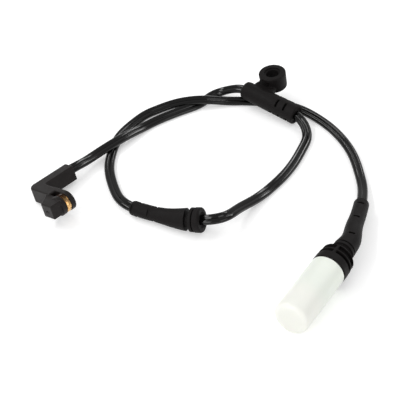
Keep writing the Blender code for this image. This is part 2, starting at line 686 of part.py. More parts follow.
def make_tee():
    """The tee grommet: a round body along the cable, a neck and a grooved eyelet."""
    edge = 0.0009
    profile = [
        (0.0, TEE_LENGTH - TEE_RECESS_DEPTH),
        (TEE_RECESS_RADIUS, TEE_LENGTH - TEE_RECESS_DEPTH),
        (TEE_RECESS_RADIUS, TEE_LENGTH),
        (TEE_OUTLET_RADIUS - 0.4 * edge, TEE_LENGTH),
        (TEE_OUTLET_RADIUS, TEE_LENGTH - 0.6 * edge),
        (tee_radius(0.5 * TEE_LENGTH), 0.5 * TEE_LENGTH),
        (TEE_INLET_RADIUS, 2.4 * edge),
        (TEE_INLET_RADIUS - 0.3 * edge, 0.9 * edge),
        (TEE_INLET_RADIUS - edge, 0.2 * edge),
        (TEE_INLET_RADIUS - 1.6 * edge, 0.0),
        (0.0, 0.0),
    ]
    body = placed(turned("tee_grommet", profile), turned_axes(TEE_INLET, TEE_WAY))

    lean = axes(Vector((0, 0, 0)), TEE_WAY).inverted().to_3x3() @ EYELET_LEAN.normalized()
    side = lean.cross(Vector((1, 0, 0))).normalized()
    stand = Matrix((side.cross(lean), side, lean)).transposed().to_4x4()
    place = TEE_FRAME @ Matrix.Translation((EYELET_ALONG, EYELET_OUT, EYELET_UP)) @ stand
    top = EYELET_HEIGHT / 2
    post = [
        (0.0, top),
        (EYELET_RADIUS - 0.5 * edge, top),
        (EYELET_RADIUS, top - 0.5 * edge),
        (EYELET_RADIUS, -top + 0.4 * edge),
        (EYELET_RADIUS - 0.4 * edge, -top),
        (0.0, -top),
    ]
    eyelet = placed(tool(turned("tee_eyelet", post, 36)), place)

    under = EYELET_UP + top - EYELET_FLANGE - EYELET_GROOVE_HEIGHT - NECK_DROP
    low = EYELET_UP - top + NECK_DROP
    section = [
        (0.0, -0.3 * TEE_INLET_RADIUS), (0.0, TEE_INLET_RADIUS), (0.3 * EYELET_OUT, TEE_INLET_RADIUS),
        (0.6 * EYELET_OUT, under), (EYELET_OUT, under), (EYELET_OUT, low), (0.5 * EYELET_OUT, low - NECK_DROP),
    ]
    neck = rounded(outline("tee_neck", section, NECK_LENGTH), 1.6 * edge)
    across = Matrix(((0, 0, 1), (1, 0, 0), (0, 1, 0))).to_4x4()
    placed(neck, TEE_FRAME @ Matrix.Translation((EYELET_ALONG, 0, 0)) @ across)
    boolean(body, tool(neck), "UNION")
    boolean(body, eyelet, "UNION")

    bore = [
        (0.0, EYELET_HEIGHT), (EYELET_STEP_RADIUS, EYELET_HEIGHT), (EYELET_STEP_RADIUS, top - EYELET_STEP_DEPTH),
        (EYELET_BORE, top - EYELET_STEP_DEPTH), (EYELET_BORE, -EYELET_HEIGHT), (0.0, -EYELET_HEIGHT),
    ]
    boolean(body, placed(tool(turned("eyelet_bore", bore, 36)), place))
    wide = EYELET_RADIUS + edge
    sector = arc((0, 0), wide, math.radians(170), math.radians(290), 8)
    sector = sector + arc((0, 0), EYELET_GROOVE_RADIUS, math.radians(290), math.radians(170), 10)
    groove = outline("eyelet_groove", sector, EYELET_GROOVE_HEIGHT)
    drop = top - EYELET_FLANGE - EYELET_GROOVE_HEIGHT / 2
    boolean(body, placed(tool(groove), place @ Matrix.Translation((0, 0, drop))))

    start = CABLE.mark(len(IN_HEAD + HEAD_TO_TEE))
    boolean(body, cable_bore("tee_bore", start, start + TEE_LENGTH))

    def frame(_length):
        return TEE_FRAME

    cut_slots(body, frame, tee_radius, TEE_SLOT_DEPTH, TEE_SLOT_TURN, TEE_SLOTS, TEE_SIDE_SLOTS)
    return show(body, RUBBER_FINISH)


def sleeve_radius(length):
    """The sleeve's radius at a length from its wide end, a trumpet that narrows to a plain tube."""
    share = min(length / (0.55 * SLEEVE_LENGTH), 1.0)
    swell = 0.5 + 0.5 * math.cos(math.pi * share)
    return SLEEVE_RADIUS + (SLEEVE_END_RADIUS - SLEEVE_RADIUS) * swell


def tube_frame(start, length):
    """The frame of a tube that follows the cable, moved so that its X is the length along it."""
    place = CABLE.at(start + length)
    return axes(place, CABLE.way(start + length)) @ Matrix.Translation((-length, 0, 0))


def make_sleeve():
    """The sleeve grommet: a bent trumpet with a clip groove near its wide end."""
    step = 0.00004
    groove = SLEEVE_GROOVE_AT, SLEEVE_GROOVE_AT + SLEEVE_GROOVE_WIDTH
    stations = [
        (0.0, SLEEVE_END_RADIUS - 0.0006),
        (0.0005, SLEEVE_END_RADIUS),
        (groove[0] - step, SLEEVE_END_RADIUS),
        (groove[0], SLEEVE_GROOVE_RADIUS),
        (groove[1], SLEEVE_GROOVE_RADIUS),
        (groove[1] + step, sleeve_radius(groove[1])),
    ]
    for i in range(1, 11):
        length = groove[1] + (SLEEVE_LENGTH - 0.0012 - groove[1]) * i / 10
        stations.append((length, sleeve_radius(length)))
    stations.append((SLEEVE_LENGTH - 0.0004, SLEEVE_RADIUS - 0.0003))
    stations.append((SLEEVE_LENGTH, SLEEVE_RADIUS - 0.0008))
    points = [CABLE.at(SLEEVE_START + length) for length, _ in stations]
    sleeve = as_mesh(line_of("sleeve_grommet", points, [radius for _, radius in stations], 8))
    boolean(sleeve, cable_bore("sleeve_bore", SLEEVE_START, SLEEVE_START + SLEEVE_LENGTH))
    recess = [(0.0, -SLEEVE_RECESS_DEPTH), (SLEEVE_RECESS_RADIUS, -SLEEVE_RECESS_DEPTH)]
    recess = [(0.0, SLEEVE_RECESS_DEPTH), (SLEEVE_RECESS_RADIUS, SLEEVE_RECESS_DEPTH)] + recess[::-1]
    mouth = placed(tool(turned("sleeve_recess", recess, 24)),
                   turned_axes(CABLE.at(SLEEVE_START), CABLE.way(SLEEVE_START)))
    boolean(sleeve, mouth)

    def frame(length):
        return tube_frame(SLEEVE_START, length)

    cut_slots(sleeve, frame, sleeve_radius, SLEEVE_SLOT_DEPTH, SLEEVE_SLOT_TURN, SLEEVE_SLOTS, SLEEVE_SIDE_SLOTS)
    return show(sleeve, RUBBER_FINISH)


def boot_radius(length):
    """The boot's radius at a length from its tip."""
    share = length / BOOT_LENGTH
    return BOOT_TIP_RADIUS + (BOOT_RADIUS - BOOT_TIP_RADIUS) * share ** 2.6


def make_boot():
    """The boot that follows the cable and the collar with its windows, in one moulding."""
    start = LINE_END - BOOT_LENGTH
    lengths = [BOOT_LENGTH * i / 12 for i in range(13)]
    stations = [(0.0, BOOT_TIP_RADIUS - 0.0006), (0.0006, BOOT_TIP_RADIUS - 0.0001)]
    stations += [(length, boot_radius(length)) for length in lengths[1:]]
    points = [CABLE.at(start + length) for length, _ in stations]
    tube = tool(as_mesh(line_of("boot_tube", points, [radius for _, radius in stations], 8)))

    back = -COLLAR_BACK - 0.0010
    profile = [
        (0.0, 0.0),
        (COLLAR_RADIUS - 0.0002, 0.0),
        (COLLAR_RADIUS, -0.0003),
        (COLLAR_RADIUS, -COLLAR_RIM),
        (COLLAR_RADIUS - 0.0003, -ROW_REAR),
        (SHOULDER_RADIUS, -SHOULDER_BACK),
        (GROOVE_CORE_RADIUS, -SHOULDER_BACK),
        (GROOVE_CORE_RADIUS, -GROOVE_FRONT_BACK),
        (BOOT_RADIUS, -GROOVE_FRONT_BACK),
        (BOOT_RADIUS, -RING_BACK),
        (GROOVE_CORE_RADIUS, -RING_BACK),
        (GROOVE_CORE_RADIUS, back),
        (0.0, back),
    ]
    boot = placed(turned("connector_boot", profile, 40), PLUG_FRAME)
    boolean(boot, tube, "UNION")

    rows = ((COLLAR_RIM, ROW_FRONT), (ROW_FRONT + WINDOW_RIB, ROW_REAR))
    spread = math.asin(WINDOW_PILLAR / 2 / COLLAR_RADIUS)
    for front, rear in rows:
        for quarter in range(4):
            first = quarter * math.pi / 2 + spread
            last = (quarter + 1) * math.pi / 2 - spread
            shape = arc((0, 0), 1.2 * COLLAR_RADIUS, first, last, 6)
            shape = shape + arc((0, 0), WINDOW_FLOOR_RADIUS, last, first, 8)
            window = outline("collar_window", shape, rear - front)
            middle = Matrix.Translation((0, 0, -(front + rear) / 2))
            boolean(boot, placed(tool(window), PLUG_FRAME @ middle))

    recess = INSERT_RADIUS + FIT
    seal_back = INSERT_REAR + WIRE_SEAL_LENGTH + 2 * FIT
    room = [
        (0.0, 0.001), (recess, 0.001), (recess, -INSERT_FLANGE - FIT),
        (INSERT_REAR_RADIUS + FIT, -INSERT_FLANGE - FIT), (INSERT_REAR_RADIUS + FIT, -seal_back),
        (CHAMBER_RADIUS, -seal_back), (CHAMBER_RADIUS, -JACKET_END - FIT), (0.0, -JACKET_END - FIT),
    ]
    boolean(boot, placed(tool(turned("insert_room", room, 24)), PLUG_FRAME))
    boolean(boot, cable_bore("boot_bore", start, CABLE_END))

    def frame(length):
        return tube_frame(start, length)

    cut_slots(boot, frame, boot_radius, BOOT_SLOT_DEPTH, BOOT_SLOT_TURN, BOOT_SLOTS, BOOT_SIDE_SLOTS)
    return show(boot, RUBBER_FINISH)


def make_insert():
    """The plug insert: a hooded nose with two contact bores and a seal groove."""
    groove = INSERT_RADIUS - SEAL_THICKNESS - FIT
    profile = [
        (0.0, INSERT_NOSE - HOOD_DEPTH),
        (HOOD_RADIUS, INSERT_NOSE - HOOD_DEPTH),
        (HOOD_RADIUS, INSERT_NOSE),
        (INSERT_RADIUS - 0.0004, INSERT_NOSE),
        (INSERT_RADIUS, INSERT_NOSE - 0.0006),
        (INSERT_RADIUS, SEAL_AT + SEAL_WIDTH),
        (groove, SEAL_AT + SEAL_WIDTH),
        (groove, SEAL_AT),
        (INSERT_RADIUS, SEAL_AT),
        (INSERT_RADIUS, -INSERT_FLANGE),
        (INSERT_REAR_RADIUS, -INSERT_FLANGE),
        (INSERT_REAR_RADIUS, -INSERT_REAR),
        (0.0, -INSERT_REAR),
    ]
    insert = placed(turned("plug_insert", profile, 28), PLUG_FRAME)
    step = -INSERT_REAR + BARREL_LENGTH + 2 * FIT
    for side in (-1, 1):
        bore = [
            (0.0, INSERT_NOSE - HOOD_DEPTH + 0.001), (CONTACT_RADIUS + FIT, INSERT_NOSE - HOOD_DEPTH + 0.001),
            (CONTACT_RADIUS + FIT, step), (BARREL_RADIUS + FIT, step),
            (BARREL_RADIUS + FIT, -INSERT_REAR - 0.001), (0.0, -INSERT_REAR - 0.001),
        ]
        cutter = tool(turned("contact_bore", bore, 12))
        place = Matrix.Translation(side * CONTACT_SPACING / 2 * PLUG_SIDE)
        boolean(insert, placed(cutter, place @ PLUG_FRAME))
    return show(insert, INSERT_FINISH)


def make_contacts():
    """Two pins with crimp barrels, one for each core."""
    for number, side in enumerate((-1, 1), 1):
        rear = -INSERT_REAR + FIT
        shoulder = rear + BARREL_LENGTH
        profile = [
            (0.0, CONTACT_REACH), (0.6 * CONTACT_RADIUS, CONTACT_REACH - 0.0002),
            (CONTACT_RADIUS, CONTACT_REACH - 0.0008), (CONTACT_RADIUS, shoulder + 0.0004),
            (BARREL_RADIUS, shoulder), (BARREL_RADIUS, rear), (0.0, rear),
        ]
        contact = turned(f"contact_{number}", profile, 12)
        place = Matrix.Translation(side * CONTACT_SPACING / 2 * PLUG_SIDE)
        show(placed(contact, place @ PLUG_FRAME), CONTACT_FINISH)


def make_core_wires():
    """The two insulated cores from the end of the jacket to the contacts."""
    for number, side in enumerate((-1, 1), 1):
        near = side * CORE_DIAMETER / 2
        far = side * CONTACT_SPACING / 2
        start = -JACKET_END + 4 * FIT
        end = -INSERT_REAR
        length = end - start
        stops = [(0.0, near), (0.2, near), (0.45, 0.5 * (near + far)), (0.7, far), (1.0, far)]
        points = smooth([on_plug(start + share * length, beside) for share, beside in stops], 3)
        wire = line_of(f"core_wire_{number}", points, [WIRE_RADIUS] * len(points), 2)
        show(wire, LOOP_FINISH)


def make_wire_seal():
    """The seal behind the insert, with a hole for each core."""
    front = -INSERT_REAR - FIT
    back = front - WIRE_SEAL_LENGTH
    profile = [(0.0, front), (INSERT_REAR_RADIUS, front), (INSERT_REAR_RADIUS, back), (0.0, back)]
    seal = placed(turned("wire_seal", profile, 24), PLUG_FRAME)
    for side in (-1, 1):
        hole = [(0.0, front + 0.001), (WIRE_RADIUS + FIT, front + 0.001),
                (WIRE_RADIUS + FIT, back - 0.001), (0.0, back - 0.001)]
        place = Matrix.Translation(side * CONTACT_SPACING / 2 * PLUG_SIDE)
        boolean(seal, placed(tool(turned("wire_hole", hole, 12)), place @ PLUG_FRAME))
    return show(seal, SEAL_FINISH)


def make_seal_ring():
    """The ring in the insert's groove, under the cap."""
    inner = INSERT_RADIUS - SEAL_THICKNESS
    low = SEAL_AT + FIT
    high = SEAL_AT + SEAL_WIDTH - FIT
    middle = (low + high) / 2
    section = [(inner, high), (INSERT_RADIUS - 0.0002, high), (INSERT_RADIUS, middle),
               (INSERT_RADIUS - 0.0002, low), (inner, low)]
    ring = turned("seal_ring", section, 28, closed=True)
    return show(placed(ring, PLUG_FRAME), SEAL_FINISH)


def make_cap():
    """The dust cap: a drafted cup with a rounded closed end."""
    base = FIT
    end = base + CAP_LENGTH
    radius = CAP_RADIUS - CAP_DRAFT
    room = INSERT_RADIUS + FIT
    floor = end - CAP_WALL
    outer = arc((radius - CAP_CORNER, end - CAP_CORNER), CAP_CORNER, math.pi / 2, 0.0, 5)
    inner_corner = CAP_CORNER - CAP_WALL
    inner = arc((room - inner_corner, floor - inner_corner), inner_corner, 0.0, math.pi / 2, 3)
    profile = [(0.0, end), *outer, (CAP_RADIUS, base), (room, base), *inner, (0.0, floor)]
    cap = placed(turned("dust_cap", profile, 40), PLUG_FRAME)
    return show(cap, CAP_FINISH)


clear_scene()
SENSOR = collection("brake_pad_wear_sensor")
TOOLS = collection("construction")
CABLE_FINISH = material("cable_jacket", (0.012, 0.012, 0.013), 0.18)
HEAD_FINISH = material("head_nylon", (0.028, 0.028, 0.030), 0.55)
RUBBER_FINISH = material("grommet_rubber", (0.020, 0.020, 0.021), 0.60)
CLIP_FINISH = material("clip_bronze", (0.78, 0.47, 0.25), 0.25, 1.0)
LOOP_FINISH = material("wire_insulation", (0.05, 0.05, 0.06), 0.40)
INSERT_FINISH = material("insert_nylon", (0.06, 0.06, 0.065), 0.45)
CONTACT_FINISH = material("contact_tin", (0.75, 0.74, 0.70), 0.30, 1.0)
SEAL_FINISH = material("seal_silicone", (0.35, 0.06, 0.04), 0.50)
CAP_FINISH = material("cap_polyethylene", (0.82, 0.85, 0.81), 0.40)

make_cable()
_, loop_channel = make_loop()
make_head(loop_channel)
make_clip()
make_tee()
make_sleeve()
make_boot()
make_insert()
make_contacts()
make_core_wires()
make_wire_seal()
make_seal_ring()
make_cap()
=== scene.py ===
"""Looks of a brake pad wear sensor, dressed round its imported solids.

Metres, +Z up. The sensor lies on the plane z = 0: sensing head at the left, tee grommet at the
back, sleeve grommet in the middle and the capped plug at the front right, all on one flat cable.
"""

import sys

import json
import logging
import math
from abc import ABC, abstractmethod
from collections.abc import Callable, Iterable, Sequence
from dataclasses import dataclass, field
from enum import Enum

import bmesh
import bpy
from mathutils import Matrix, Vector

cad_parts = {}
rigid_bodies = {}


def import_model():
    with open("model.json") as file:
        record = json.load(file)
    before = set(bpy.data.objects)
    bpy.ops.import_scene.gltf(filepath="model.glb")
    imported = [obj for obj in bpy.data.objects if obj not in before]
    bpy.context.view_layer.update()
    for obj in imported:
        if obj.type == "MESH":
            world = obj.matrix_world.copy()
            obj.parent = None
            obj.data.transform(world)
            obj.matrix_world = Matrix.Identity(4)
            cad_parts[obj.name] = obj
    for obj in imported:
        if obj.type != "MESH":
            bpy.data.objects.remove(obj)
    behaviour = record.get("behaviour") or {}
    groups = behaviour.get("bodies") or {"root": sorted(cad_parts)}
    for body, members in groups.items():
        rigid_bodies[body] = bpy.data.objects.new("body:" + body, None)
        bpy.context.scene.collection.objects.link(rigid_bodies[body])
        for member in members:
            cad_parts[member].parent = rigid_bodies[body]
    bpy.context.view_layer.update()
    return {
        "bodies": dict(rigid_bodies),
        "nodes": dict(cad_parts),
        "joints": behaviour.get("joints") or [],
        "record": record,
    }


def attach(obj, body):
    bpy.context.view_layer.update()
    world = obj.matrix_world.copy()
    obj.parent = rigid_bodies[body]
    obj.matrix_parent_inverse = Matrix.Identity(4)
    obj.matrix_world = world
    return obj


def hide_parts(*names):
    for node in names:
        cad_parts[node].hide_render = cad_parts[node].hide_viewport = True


LOG = logging.getLogger("wear_sensor")
UP = Vector((0.0, 0.0, 1.0))
# The gap between a piece and the one that it fits
FIT = 0.0003

Point2 = tuple[float, float]
Point3 = tuple[float, float, float]
Socket = bpy.types.NodeSocket
Obj = bpy.types.Object

# The angles from which an edge is rounded, and from which a crisp or a drawn piece keeps it sharp
ROUNDED_FROM = math.radians(50)
CRISP_FROM = math.radians(38)
DRAWN_FROM = math.radians(60)
# The length over which a moulded step turns its corner, and how a moulded lip rounds off
CORNER = 0.0001
LIP = ((0.0, 0.0006), (0.0003, 0.0002), (0.0007, 0.0))


class Slot(Enum):
    """The record's material slots."""

    JACKET = "cable_jacket"
    HEAD = "head_nylon"
    RUBBER = "grommet_rubber"
    CLIP = "clip_bronze"
    WIRE = "wire_insulation"
    INSERT = "insert_nylon"
    CONTACT = "contact_tin"
    SEAL = "seal_silicone"
    CAP = "cap_polyethylene"


class Edge(Enum):
    """How a finished mesh is shaded."""

    MOULDED = "smooth all over"
    CRISP = "smooth with sharp folds"


# Node and colour helpers


def linear(colour: str) -> tuple[float, float, float, float]:
    """Turn an sRGB colour to linear light.

    Args:
        colour: A hex colour such as "#1a1a1b".

    Returns:
        Red, green, blue and an alpha of 1.
    """
    parts = [int(colour[i:i + 2], 16) / 255 for i in (1, 3, 5)]
    light = [p / 12.92 if p <= 0.04045 else ((p + 0.055) / 1.055) ** 2.4 for p in parts]
    return (light[0], light[1], light[2], 1.0)


def add_node(
    tree: bpy.types.NodeTree,
    kind: str,
    settings: dict[str, object] | None = None,
    inputs: dict[str | int, object] | None = None,
) -> bpy.types.Node:
    """Add a node, with its settings, values and links.

    Args:
        tree: The node tree that it goes in.
        kind: The node's type.
        settings: Its own properties.
        inputs: A value or another node's output for each input, by name or number.

    Returns:
        The node.
    """
    made = tree.nodes.new(kind)
    for name, value in (settings or {}).items():
        setattr(made, name, value)
    for name, value in (inputs or {}).items():
        if isinstance(value, Socket):
            tree.links.new(value, made.inputs[name])
        else:
            made.inputs[name].default_value = value
    return made


@dataclass(frozen=True)
class Surface:
    """A material's node tree and its Principled shader, while its pattern is made."""

    tree: bpy.types.NodeTree
    shader: bpy.types.Node

    def place(self) -> Socket:
        """Each point's place in metres."""
        return add_node(self.tree, "ShaderNodeTexCoord").outputs["Object"]

    def attribute(self, name: str) -> bpy.types.NodeOutputs:
        """The values of a mesh attribute."""
        return add_node(self.tree, "ShaderNodeAttribute", {"attribute_name": name}).outputs

    def feed(self, name: str, value: Socket) -> None:
        """Link a value to one of the shader's inputs."""
        self.tree.links.new(value, self.shader.inputs[name])

    def noise(self, place: Socket, size: float, detail: float = 2.0, rough: float = 0.5) -> Socket:
        """A cloudy pattern from 0 to 1, with clouds of one size in the place's own units."""
        return add_node(self.tree, "ShaderNodeTexNoise", None,
                        {"Vector": place, "Scale": 1 / size, "Detail": detail,
                         "Roughness": rough}).outputs["Fac"]

    def ranged(
        self, value: Socket, given: Point2, wanted: Point2 = (0.0, 1.0), curve: str = "LINEAR"
    ) -> Socket:
        """A given band of values stretched to the wanted one."""
        return add_node(self.tree, "ShaderNodeMapRange", {"interpolation_type": curve},
                        {"Value": value, "From Min": given[0], "From Max": given[1],
                         "To Min": wanted[0], "To Max": wanted[1]}).outputs["Result"]

    def tone(self, share: Socket, low: str | Socket, high: str) -> Socket:
        """A mix of two sRGB tones, or of a node's output and a tone."""
        first = linear(low) if isinstance(low, str) else low
        return add_node(self.tree, "ShaderNodeMix", {"data_type": "RGBA"},
                        {0: share, 6: first, 7: linear(high)}).outputs[2]

    def relief(self, height: Socket, depth: float, strength: float) -> None:
        """Raise the surface by a pattern, to a depth in metres."""
        bump = add_node(self.tree, "ShaderNodeBump", None,
                        {"Strength": strength, "Distance": depth, "Height": height})
        self.feed("Normal", bump.outputs["Normal"])


# Finishes


@dataclass(frozen=True)
class Finish(ABC):
    """A real material with its surface.

    Attributes:
        name: The material's plain name.
        slot: The record's slot that it stands for, or None for the studio's own; not used.
        colour: Its base colour, sRGB.
        roughness: How dull its reflections are.
        ior: Its index of refraction, which a metal leaves alone.
        metallic: 1 for a metal.
        reflection: How much of its mirror light a rough skin lets out, 0.5 for a sound one.
    """

    name: str
    slot: Slot | None
    colour: str
    roughness: float
    ior: float = 1.5
    metallic: float = 0.0
    reflection: float = 0.5

    def material(self) -> bpy.types.Material:
        """The finish's material, made at its first use.

        Returns:
            The Blender material.
        """
        known = bpy.data.materials.get(self.name)
        if known:
            return known
        made = bpy.data.materials.new(self.name)
        made.use_nodes = True
        shader = made.node_tree.nodes["Principled BSDF"]
        values = {"Base Color": linear(self.colour), "Roughness": self.roughness,
                  "Metallic": self.metallic, "Specular IOR Level": self.reflection}
        if not self.metallic:
            values["IOR"] = self.ior
        for name, value in values.items():
            shader.inputs[name].default_value = value
        self.dress(Surface(made.node_tree, shader))
        return made

    @abstractmethod
    def dress(self, surface: Surface) -> None:
        """Give the surface its pattern.

        Args:
            surface: The material's nodes.
        """


@dataclass(frozen=True)
class MouldedPolymer(Finish):
    """Rubber or plastic from a spark-eroded mould: a fine even grain under slow cloudy tones.

    Attributes:
        cloud: The colour that the base colour drifts to, sRGB.
        cloud_size: The width of a cloud.
        cloud_band: The noise values that the drift in gloss is spread over.
        grain: The width of the mould's grain, coarser than the real 0.1 mm so that it shows.
        grain_depth: The grain's height.
        gloss_drift: How far the roughness drifts either way.
    """

    cloud: str = "#242425"
    cloud_size: float = 0.0040
    cloud_band: Point2 = (0.3, 0.7)
    grain: float = 0.00035
    grain_depth: float = 0.00003
    gloss_drift: float = 0.06

    def dress(self, surface: Surface) -> None:
        """Give the surface its clouds, its drift in gloss and its grain.

        Args:
            surface: The material's nodes.
        """
        place = surface.place()
        clouds = surface.noise(place, self.cloud_size, 3.0, 0.6)
        dullness = (self.roughness - self.gloss_drift, self.roughness + self.gloss_drift)
        surface.feed("Base Color", surface.tone(clouds, self.colour, self.cloud))
        surface.feed("Roughness", surface.ranged(clouds, self.cloud_band, dullness))
        surface.relief(surface.noise(place, self.grain, 2.0, 0.55), self.grain_depth, 0.6)


@dataclass(frozen=True)
class ExtrudedJacket(Finish):
    """Black cable jacket, drawn through a die: glossy, with faint lines along its run.

    Attributes:
        attribute: The mesh attribute with the length along the run and the way round it.
        line: The width of a die line, coarser than the real 0.1 mm so that it shows.
        line_run: How long a line stays the same.
        line_depth: The lines' height.
        film: The greyer tone where the jacket has been handled, sRGB.
        patch: The width of a handled patch.
        patch_band: The noise values that the change in gloss is spread over.
        polish: How much glossier a clean patch is.
        dulling: How much duller a handled one is.
    """

    attribute: str = "run"
    line: float = 0.00030
    line_run: float = 0.0300
    line_depth: float = 0.00002
    film: str = "#0d0c0c"
    patch: float = 0.011
    patch_band: Point2 = (0.35, 0.70)
    polish: float = 0.03
    dulling: float = 0.06

    def dress(self, surface: Surface) -> None:
        """Give the surface its die lines and its handled patches.

        Args:
            surface: The material's nodes.
        """
        run = surface.attribute(self.attribute)["Vector"]
        drawn = add_node(surface.tree, "ShaderNodeVectorMath", {"operation": "MULTIPLY"},
                         {0: run, 1: (1 / self.line_run, 1 / self.line, 1.0)}).outputs["Vector"]
        patches = surface.noise(run, self.patch, 3.0, 0.6)
        dullness = (self.roughness - self.polish, self.roughness + self.dulling)
        surface.feed("Base Color", surface.tone(patches, self.colour, self.film))
        surface.feed("Roughness", surface.ranged(patches, self.patch_band, dullness))
        surface.relief(surface.noise(drawn, 1.0), self.line_depth, 0.5)


@dataclass(frozen=True)
class RolledMetal(Finish):
    """Rolled or plated strip: bright, with a tarnish that drifts and fine rolling lines.

    Attributes:
        attribute: The mesh attribute with the share of painted dark reflection.
        painted_dark_reflection: The tone of that painted dark reflection, sRGB.
        tarnish: The darker tone in its patches, sRGB.
        patch: The width of a patch.
        patch_band: The noise values over which the tarnish comes in.
        line: The width of a rolling line, coarser than the real 0.02 mm so that it shows.
        line_stretch: How much narrower than long a line is.
        line_depth: The lines' height.
    """

    attribute: str = "painted_dark_reflection"
    painted_dark_reflection: str = "#3a2415"
    tarnish: str = "#8a5a30"
    patch: float = 0.0016
    patch_band: Point2 = (0.45, 0.75)
    line: float = 0.00025
    line_stretch: float = 0.12
    line_depth: float = 0.00001

    def dress(self, surface: Surface) -> None:
        """Give the surface its tarnish, its painted dark reflection and its rolling lines.

        Args:
            surface: The material's nodes.
        """
        place = surface.place()
        share = surface.ranged(surface.noise(place, self.patch, 3.0, 0.6), self.patch_band)
        worn = surface.tone(share, self.colour, self.tarnish)
        # A mesh attribute lays a painted dark reflection over the worn tone
        film = surface.attribute(self.attribute)["Fac"]
        surface.feed("Base Color", surface.tone(film, worn, self.painted_dark_reflection))
        scale = (self.line_stretch / self.line, 1 / self.line, 1 / self.line)
        drawn = add_node(surface.tree, "ShaderNodeMapping", None, {"Vector": place, "Scale": scale})
        surface.relief(surface.noise(drawn.outputs["Vector"], 1.0), self.line_depth, 0.4)


@dataclass(frozen=True)
class MilkyPolyethylene(Finish):
    """Soft natural polyethylene, injection moulded: milky, with painted shade over the insert.

    Attributes:
        painted_insert_shade: The painted shade where the dark insert lies behind the wall, sRGB.
        axis: The plug's axis.
        collar: Where the collar's face cuts that axis.
        insert_end: How far the insert reaches from the collar's face.
        fade: The length over which the tone changes.
        milkiness: The share of light that wanders in the wall.
        depth: How far it wanders.
        spread: How far red, green and blue wander against each other.
        ripple: The width of the mould's soft ripple.
        ripple_depth: The ripple's height.
    """

    painted_insert_shade: str = "#eff6e8"
    axis: Point3 = (1.0, 0.0, 0.0)
    collar: float = 0.0
    insert_end: float = 0.0220
    fade: float = 0.0060
    milkiness: float = 0.5
    depth: float = 0.0040
    spread: Point3 = (1.0, 1.0, 0.9)
    ripple: float = 0.0022
    ripple_depth: float = 0.00004

    def dress(self, surface: Surface) -> None:
        """Give the wall its depth, its painted shade over the insert and the soft ripple of its
        mould.

        Args:
            surface: The material's nodes.
        """
        place = surface.place()
        along = add_node(surface.tree, "ShaderNodeVectorMath", {"operation": "DOT_PRODUCT"},
                         {0: place, 1: self.axis}).outputs["Value"]
        # The wall is painted a cooler shade where the dark insert lies behind it, fading along the
        # axis
        middle = self.collar + self.insert_end
        share = surface.ranged(along, (middle - self.fade, middle + self.fade), curve="SMOOTHSTEP")
        surface.feed("Base Color", surface.tone(share, self.painted_insert_shade, self.colour))
        surface.relief(surface.noise(place, self.ripple), self.ripple_depth, 0.3)
        inputs = surface.shader.inputs
        inputs["Subsurface Weight"].default_value = self.milkiness
        inputs["Subsurface Radius"].default_value = self.spread
        inputs["Subsurface Scale"].default_value = self.depth


@dataclass(frozen=True)
class PaperSweep(Finish):
    """Matte white studio card: plain white to the camera, and it keeps the sensor's shadow.

    Attributes:
        lift: The light added for the camera and for rays that it sees in or through a surface.
        fibre: The width of its fibres, coarser than the real 0.05 mm so that they show.
        fibre_tone: The fibres' tone, sRGB.
    """

    lift: float = 0.34
    fibre: float = 0.0012
    fibre_tone: str = "#ebebeb"

    def dress(self, surface: Surface) -> None:
        """Give the card its fibre tone and its lift.

        Args:
            surface: The material's nodes.
        """
        tree = surface.tree
        fibres = surface.noise(surface.place(), self.fibre)
        surface.feed("Base Color", surface.tone(fibres, self.colour, self.fibre_tone))
        path = add_node(tree, "ShaderNodeLightPath").outputs
        mirrored = add_node(tree, "ShaderNodeMath", {"operation": "MAXIMUM"},
                            {0: path["Is Glossy Ray"], 1: path["Is Transmission Ray"]})
        seen = add_node(tree, "ShaderNodeMath", {"operation": "MAXIMUM"},
                        {0: path["Is Camera Ray"], 1: mirrored.outputs["Value"]})
        lifted = add_node(tree, "ShaderNodeMath", {"operation": "MULTIPLY"},
                          {0: seen.outputs["Value"], 1: self.lift})
        surface.feed("Emission Strength", lifted.outputs["Value"])
        surface.shader.inputs["Emission Color"].default_value = (1.0, 1.0, 1.0, 1.0)
        surface.shader.inputs["Specular IOR Level"].default_value = 0.0


# The jacket is plasticised polyurethane: a deep black gloss that picks up long thin highlights
JACKET = ExtrudedJacket("extruded_polyurethane_jacket", Slot.JACKET, "#050505", 0.11, 1.50,
                        reflection=0.32)
# The head is glass-filled nylon: a dry dark grey-black sheen with a fine even grain
HEAD_NYLON = MouldedPolymer("moulded_glass_filled_nylon", Slot.HEAD, "#120e0d", 0.44, 1.53,
                            cloud="#1c1716", grain=0.00030, reflection=0.18)
# The grommets are moulded rubber: matte and soft, so its edges blur to grey
RUBBER = MouldedPolymer("moulded_rubber", Slot.RUBBER, "#0e0c0c", 0.58, 1.52,
                        cloud="#161313", reflection=0.12)
# The clip is spring bronze strip: warm gold, with a painted dark brown reflection on its upward
# facets
CLIP_BRONZE = RolledMetal("rolled_spring_bronze", Slot.CLIP, "#e0b77e", 0.24, metallic=1.0,
                          tarnish="#a9713c")
# The wires' insulation is extruded polymer: satin dark grey
WIRE_INSULATION = MouldedPolymer("satin_wire_insulation", Slot.WIRE, "#3c3c40", 0.40, 1.50,
                                 cloud="#48484c", grain=0.00040)
# The insert is moulded nylon: satin dark grey
INSERT_NYLON = MouldedPolymer("moulded_insert_nylon", Slot.INSERT, "#424244", 0.45, 1.53,
                              cloud="#4c4c4e")
# The contacts are tin-plated brass: pale, bright and slightly warm
TIN_PLATE = RolledMetal("tin_plated_contact", Slot.CONTACT, "#d6d4cd", 0.28, metallic=1.0,
                        tarnish="#a3a099")
# The seals are soft silicone: red-brown, with a waxy dullness
SILICONE = MouldedPolymer("moulded_silicone", Slot.SEAL, "#9f4638", 0.50, 1.41,
                          cloud="#8c3c30", grain=0.00050)


# Mesh helpers


